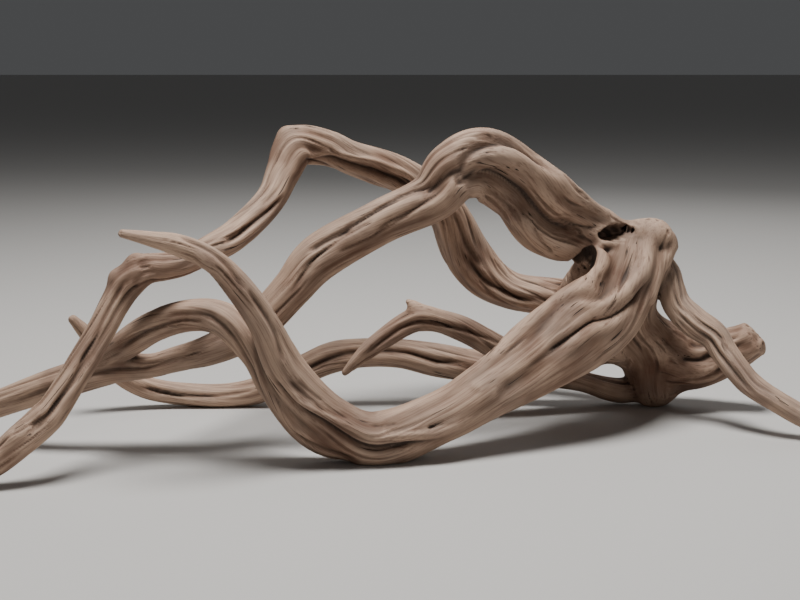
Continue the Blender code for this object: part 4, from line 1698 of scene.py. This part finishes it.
    def _piece(self, limb: Limb, skin: Skin, quads: np.ndarray) -> bpy.types.Object:
        """Cuts one limb's piece out of the skin, closes it inside the fork and dresses it.

        Args:
            limb: The limb.
            skin: The carved skin, with its wear and its painted shade.
            quads: The faces of the skin that the limb owns.

        Returns:
            The finished piece, riding on the frame.
        """
        used, index = np.unique(quads, return_inverse=True)
        mesh = new_mesh(limb.node + "_wood", skin.points[used], index.reshape(-1, 4).astype(np.int32))
        for name, values in skin.vectors().items():
            write_vectors(mesh, name, values[used])
        for name, values in skin.wear_and_shade.items():
            shares = mesh.attributes.new(name, "FLOAT", "POINT")
            shares.data.foreach_set("value", values[used].astype(np.float32))
        mesh.materials.append(self.materials[limb.slot])
        close_forks(mesh)
        mesh.shade_smooth()
        given = np.zeros((len(mesh.vertices), 3), np.float32)
        given[: len(used)] = skin.normals[used]
        mesh.normals_split_custom_set_from_vertices(given.tolist())
        piece = bpy.data.objects.new(limb.node + "_wood", mesh)
        bpy.context.scene.collection.objects.link(piece)
        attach(piece, "root")
        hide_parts(limb.node)
        return piece


def new_mesh(name: str, points: np.ndarray, quads: np.ndarray) -> bpy.types.Mesh:
    """Makes a mesh of quads.

    Args:
        name: The mesh's name.
        points: Its points, in millimetres.
        quads: Four point numbers for each face.

    Returns:
        The mesh, in metres.
    """
    mesh = bpy.data.meshes.new(name)
    mesh.vertices.add(len(points))
    mesh.vertices.foreach_set("co", (points * MM).astype(np.float32).ravel())
    mesh.loops.add(quads.size)
    mesh.loops.foreach_set("vertex_index", quads.ravel())
    mesh.polygons.add(len(quads))
    mesh.polygons.foreach_set("loop_start", np.arange(0, quads.size, 4, dtype=np.int32))
    mesh.update(calc_edges=True)
    return mesh


def write_vectors(mesh: bpy.types.Mesh, name: str, values: np.ndarray) -> None:
    """Writes a vector for each point of a mesh.

    Args:
        mesh: The mesh.
        name: The attribute's name.
        values: One row of three numbers for each point.
    """
    attribute = mesh.attributes.new(name, "FLOAT_VECTOR", "POINT")
    attribute.data.foreach_set("vector", values.astype(np.float32).ravel())


def close_forks(mesh: bpy.types.Mesh) -> None:
    """Closes the openings that parting at the forks leaves, where a neighbouring piece hides them.

    Args:
        mesh: The mesh of one piece, changed in place.
    """
    work = bmesh.new()
    work.from_mesh(mesh)
    edges = [edge for edge in work.edges if edge.is_boundary]
    filled = bmesh.ops.holes_fill(work, edges=edges, sides=0)["faces"]
    bmesh.ops.poke(work, faces=filled, center_mode="MEAN")
    work.to_mesh(mesh)
    work.free()


@dataclass(frozen=True)
class SoftLight:
    """A square panel of light: its name, place and side in metres, and its power in watts."""

    name: str
    place: Span
    size: float
    power: float

    def hang(self, target: Span) -> None:
        """Hangs the panel.

        Args:
            target: The place that it faces.
        """
        light = bpy.data.lights.new(self.name, "AREA")
        light.size = self.size
        light.energy = self.power
        panel = bpy.data.objects.new(self.name, light)
        panel.location = self.place
        panel.rotation_euler = (Vector(target) - Vector(self.place)).to_track_quat("-Z", "Y").to_euler()
        bpy.context.scene.collection.objects.link(panel)


@dataclass(frozen=True)
class Studio:
    """A pale floor, soft light and the camera at the photograph's viewing angle. Lengths are in metres."""

    target: Span = (0.019, 0.004, 0.110)
    distance: float = 1.07
    elevation: float = 10.0
    lens: float = 59.985
    sensor_width: float = 36.0
    clip_start: float = 0.05
    floor_size: float = 80.0
    floor_colour: str = "B8B5B1"
    floor_roughness: float = 0.9
    air_colour: str = "F2F4F7"
    air_strength: float = 0.08
    lights: tuple[SoftLight, ...] = (
        SoftLight("key_light", (-0.05, -0.12, 1.75), 0.6, 50.0),
        SoftLight("fill_light", (1.4, -1.8, 0.9), 1.8, 3.0),
        SoftLight("rim_light", (0.5, 1.4, 1.2), 1.2, 6.0),
    )

    def build(self) -> None:
        """Builds the floor, the lights and the camera."""
        self._floor()
        for light in self.lights:
            light.hang(self.target)
        world = bpy.data.worlds.new("studio_air")
        world.use_nodes = True
        background = world.node_tree.nodes["Background"]
        background.inputs["Color"].default_value = linear(self.air_colour)
        background.inputs["Strength"].default_value = self.air_strength
        bpy.context.scene.world = world
        self._camera()

    def _floor(self) -> None:
        """Lays the plain pale floor."""
        half = 0.5 * self.floor_size
        corners = [(-half, -half, 0.0), (half, -half, 0.0), (half, half, 0.0), (-half, half, 0.0)]
        mesh = bpy.data.meshes.new("studio_floor")
        mesh.from_pydata(corners, [], [(0, 1, 2, 3)])
        material = bpy.data.materials.new("pale_floor")
        material.use_nodes = True
        shader = material.node_tree.nodes["Principled BSDF"]
        shader.inputs["Base Color"].default_value = linear(self.floor_colour)
        shader.inputs["Roughness"].default_value = self.floor_roughness
        mesh.materials.append(material)
        floor = bpy.data.objects.new("studio_floor", mesh)
        bpy.context.scene.collection.objects.link(floor)

    def _camera(self) -> None:
        """Sets up the camera."""
        turn = math.radians(self.elevation)
        ahead = Vector((0.0, math.cos(turn), -math.sin(turn)))
        camera = bpy.data.cameras.new("camera")
        camera.lens = self.lens
        camera.sensor_width = self.sensor_width
        camera.clip_start = self.clip_start
        eye = bpy.data.objects.new("camera", camera)
        eye.location = Vector(self.target) - ahead * self.distance
        eye.rotation_euler = ahead.to_track_quat("-Z", "Y").to_euler()
        bpy.context.scene.collection.objects.link(eye)
        bpy.context.scene.camera = eye


def main() -> None:
    """Builds the branch and the studio."""
    logging.basicConfig(level=logging.INFO, format="%(message)s")
    Studio().build()
    DriftwoodBranch().build()


if __name__ == "__main__":
    main()
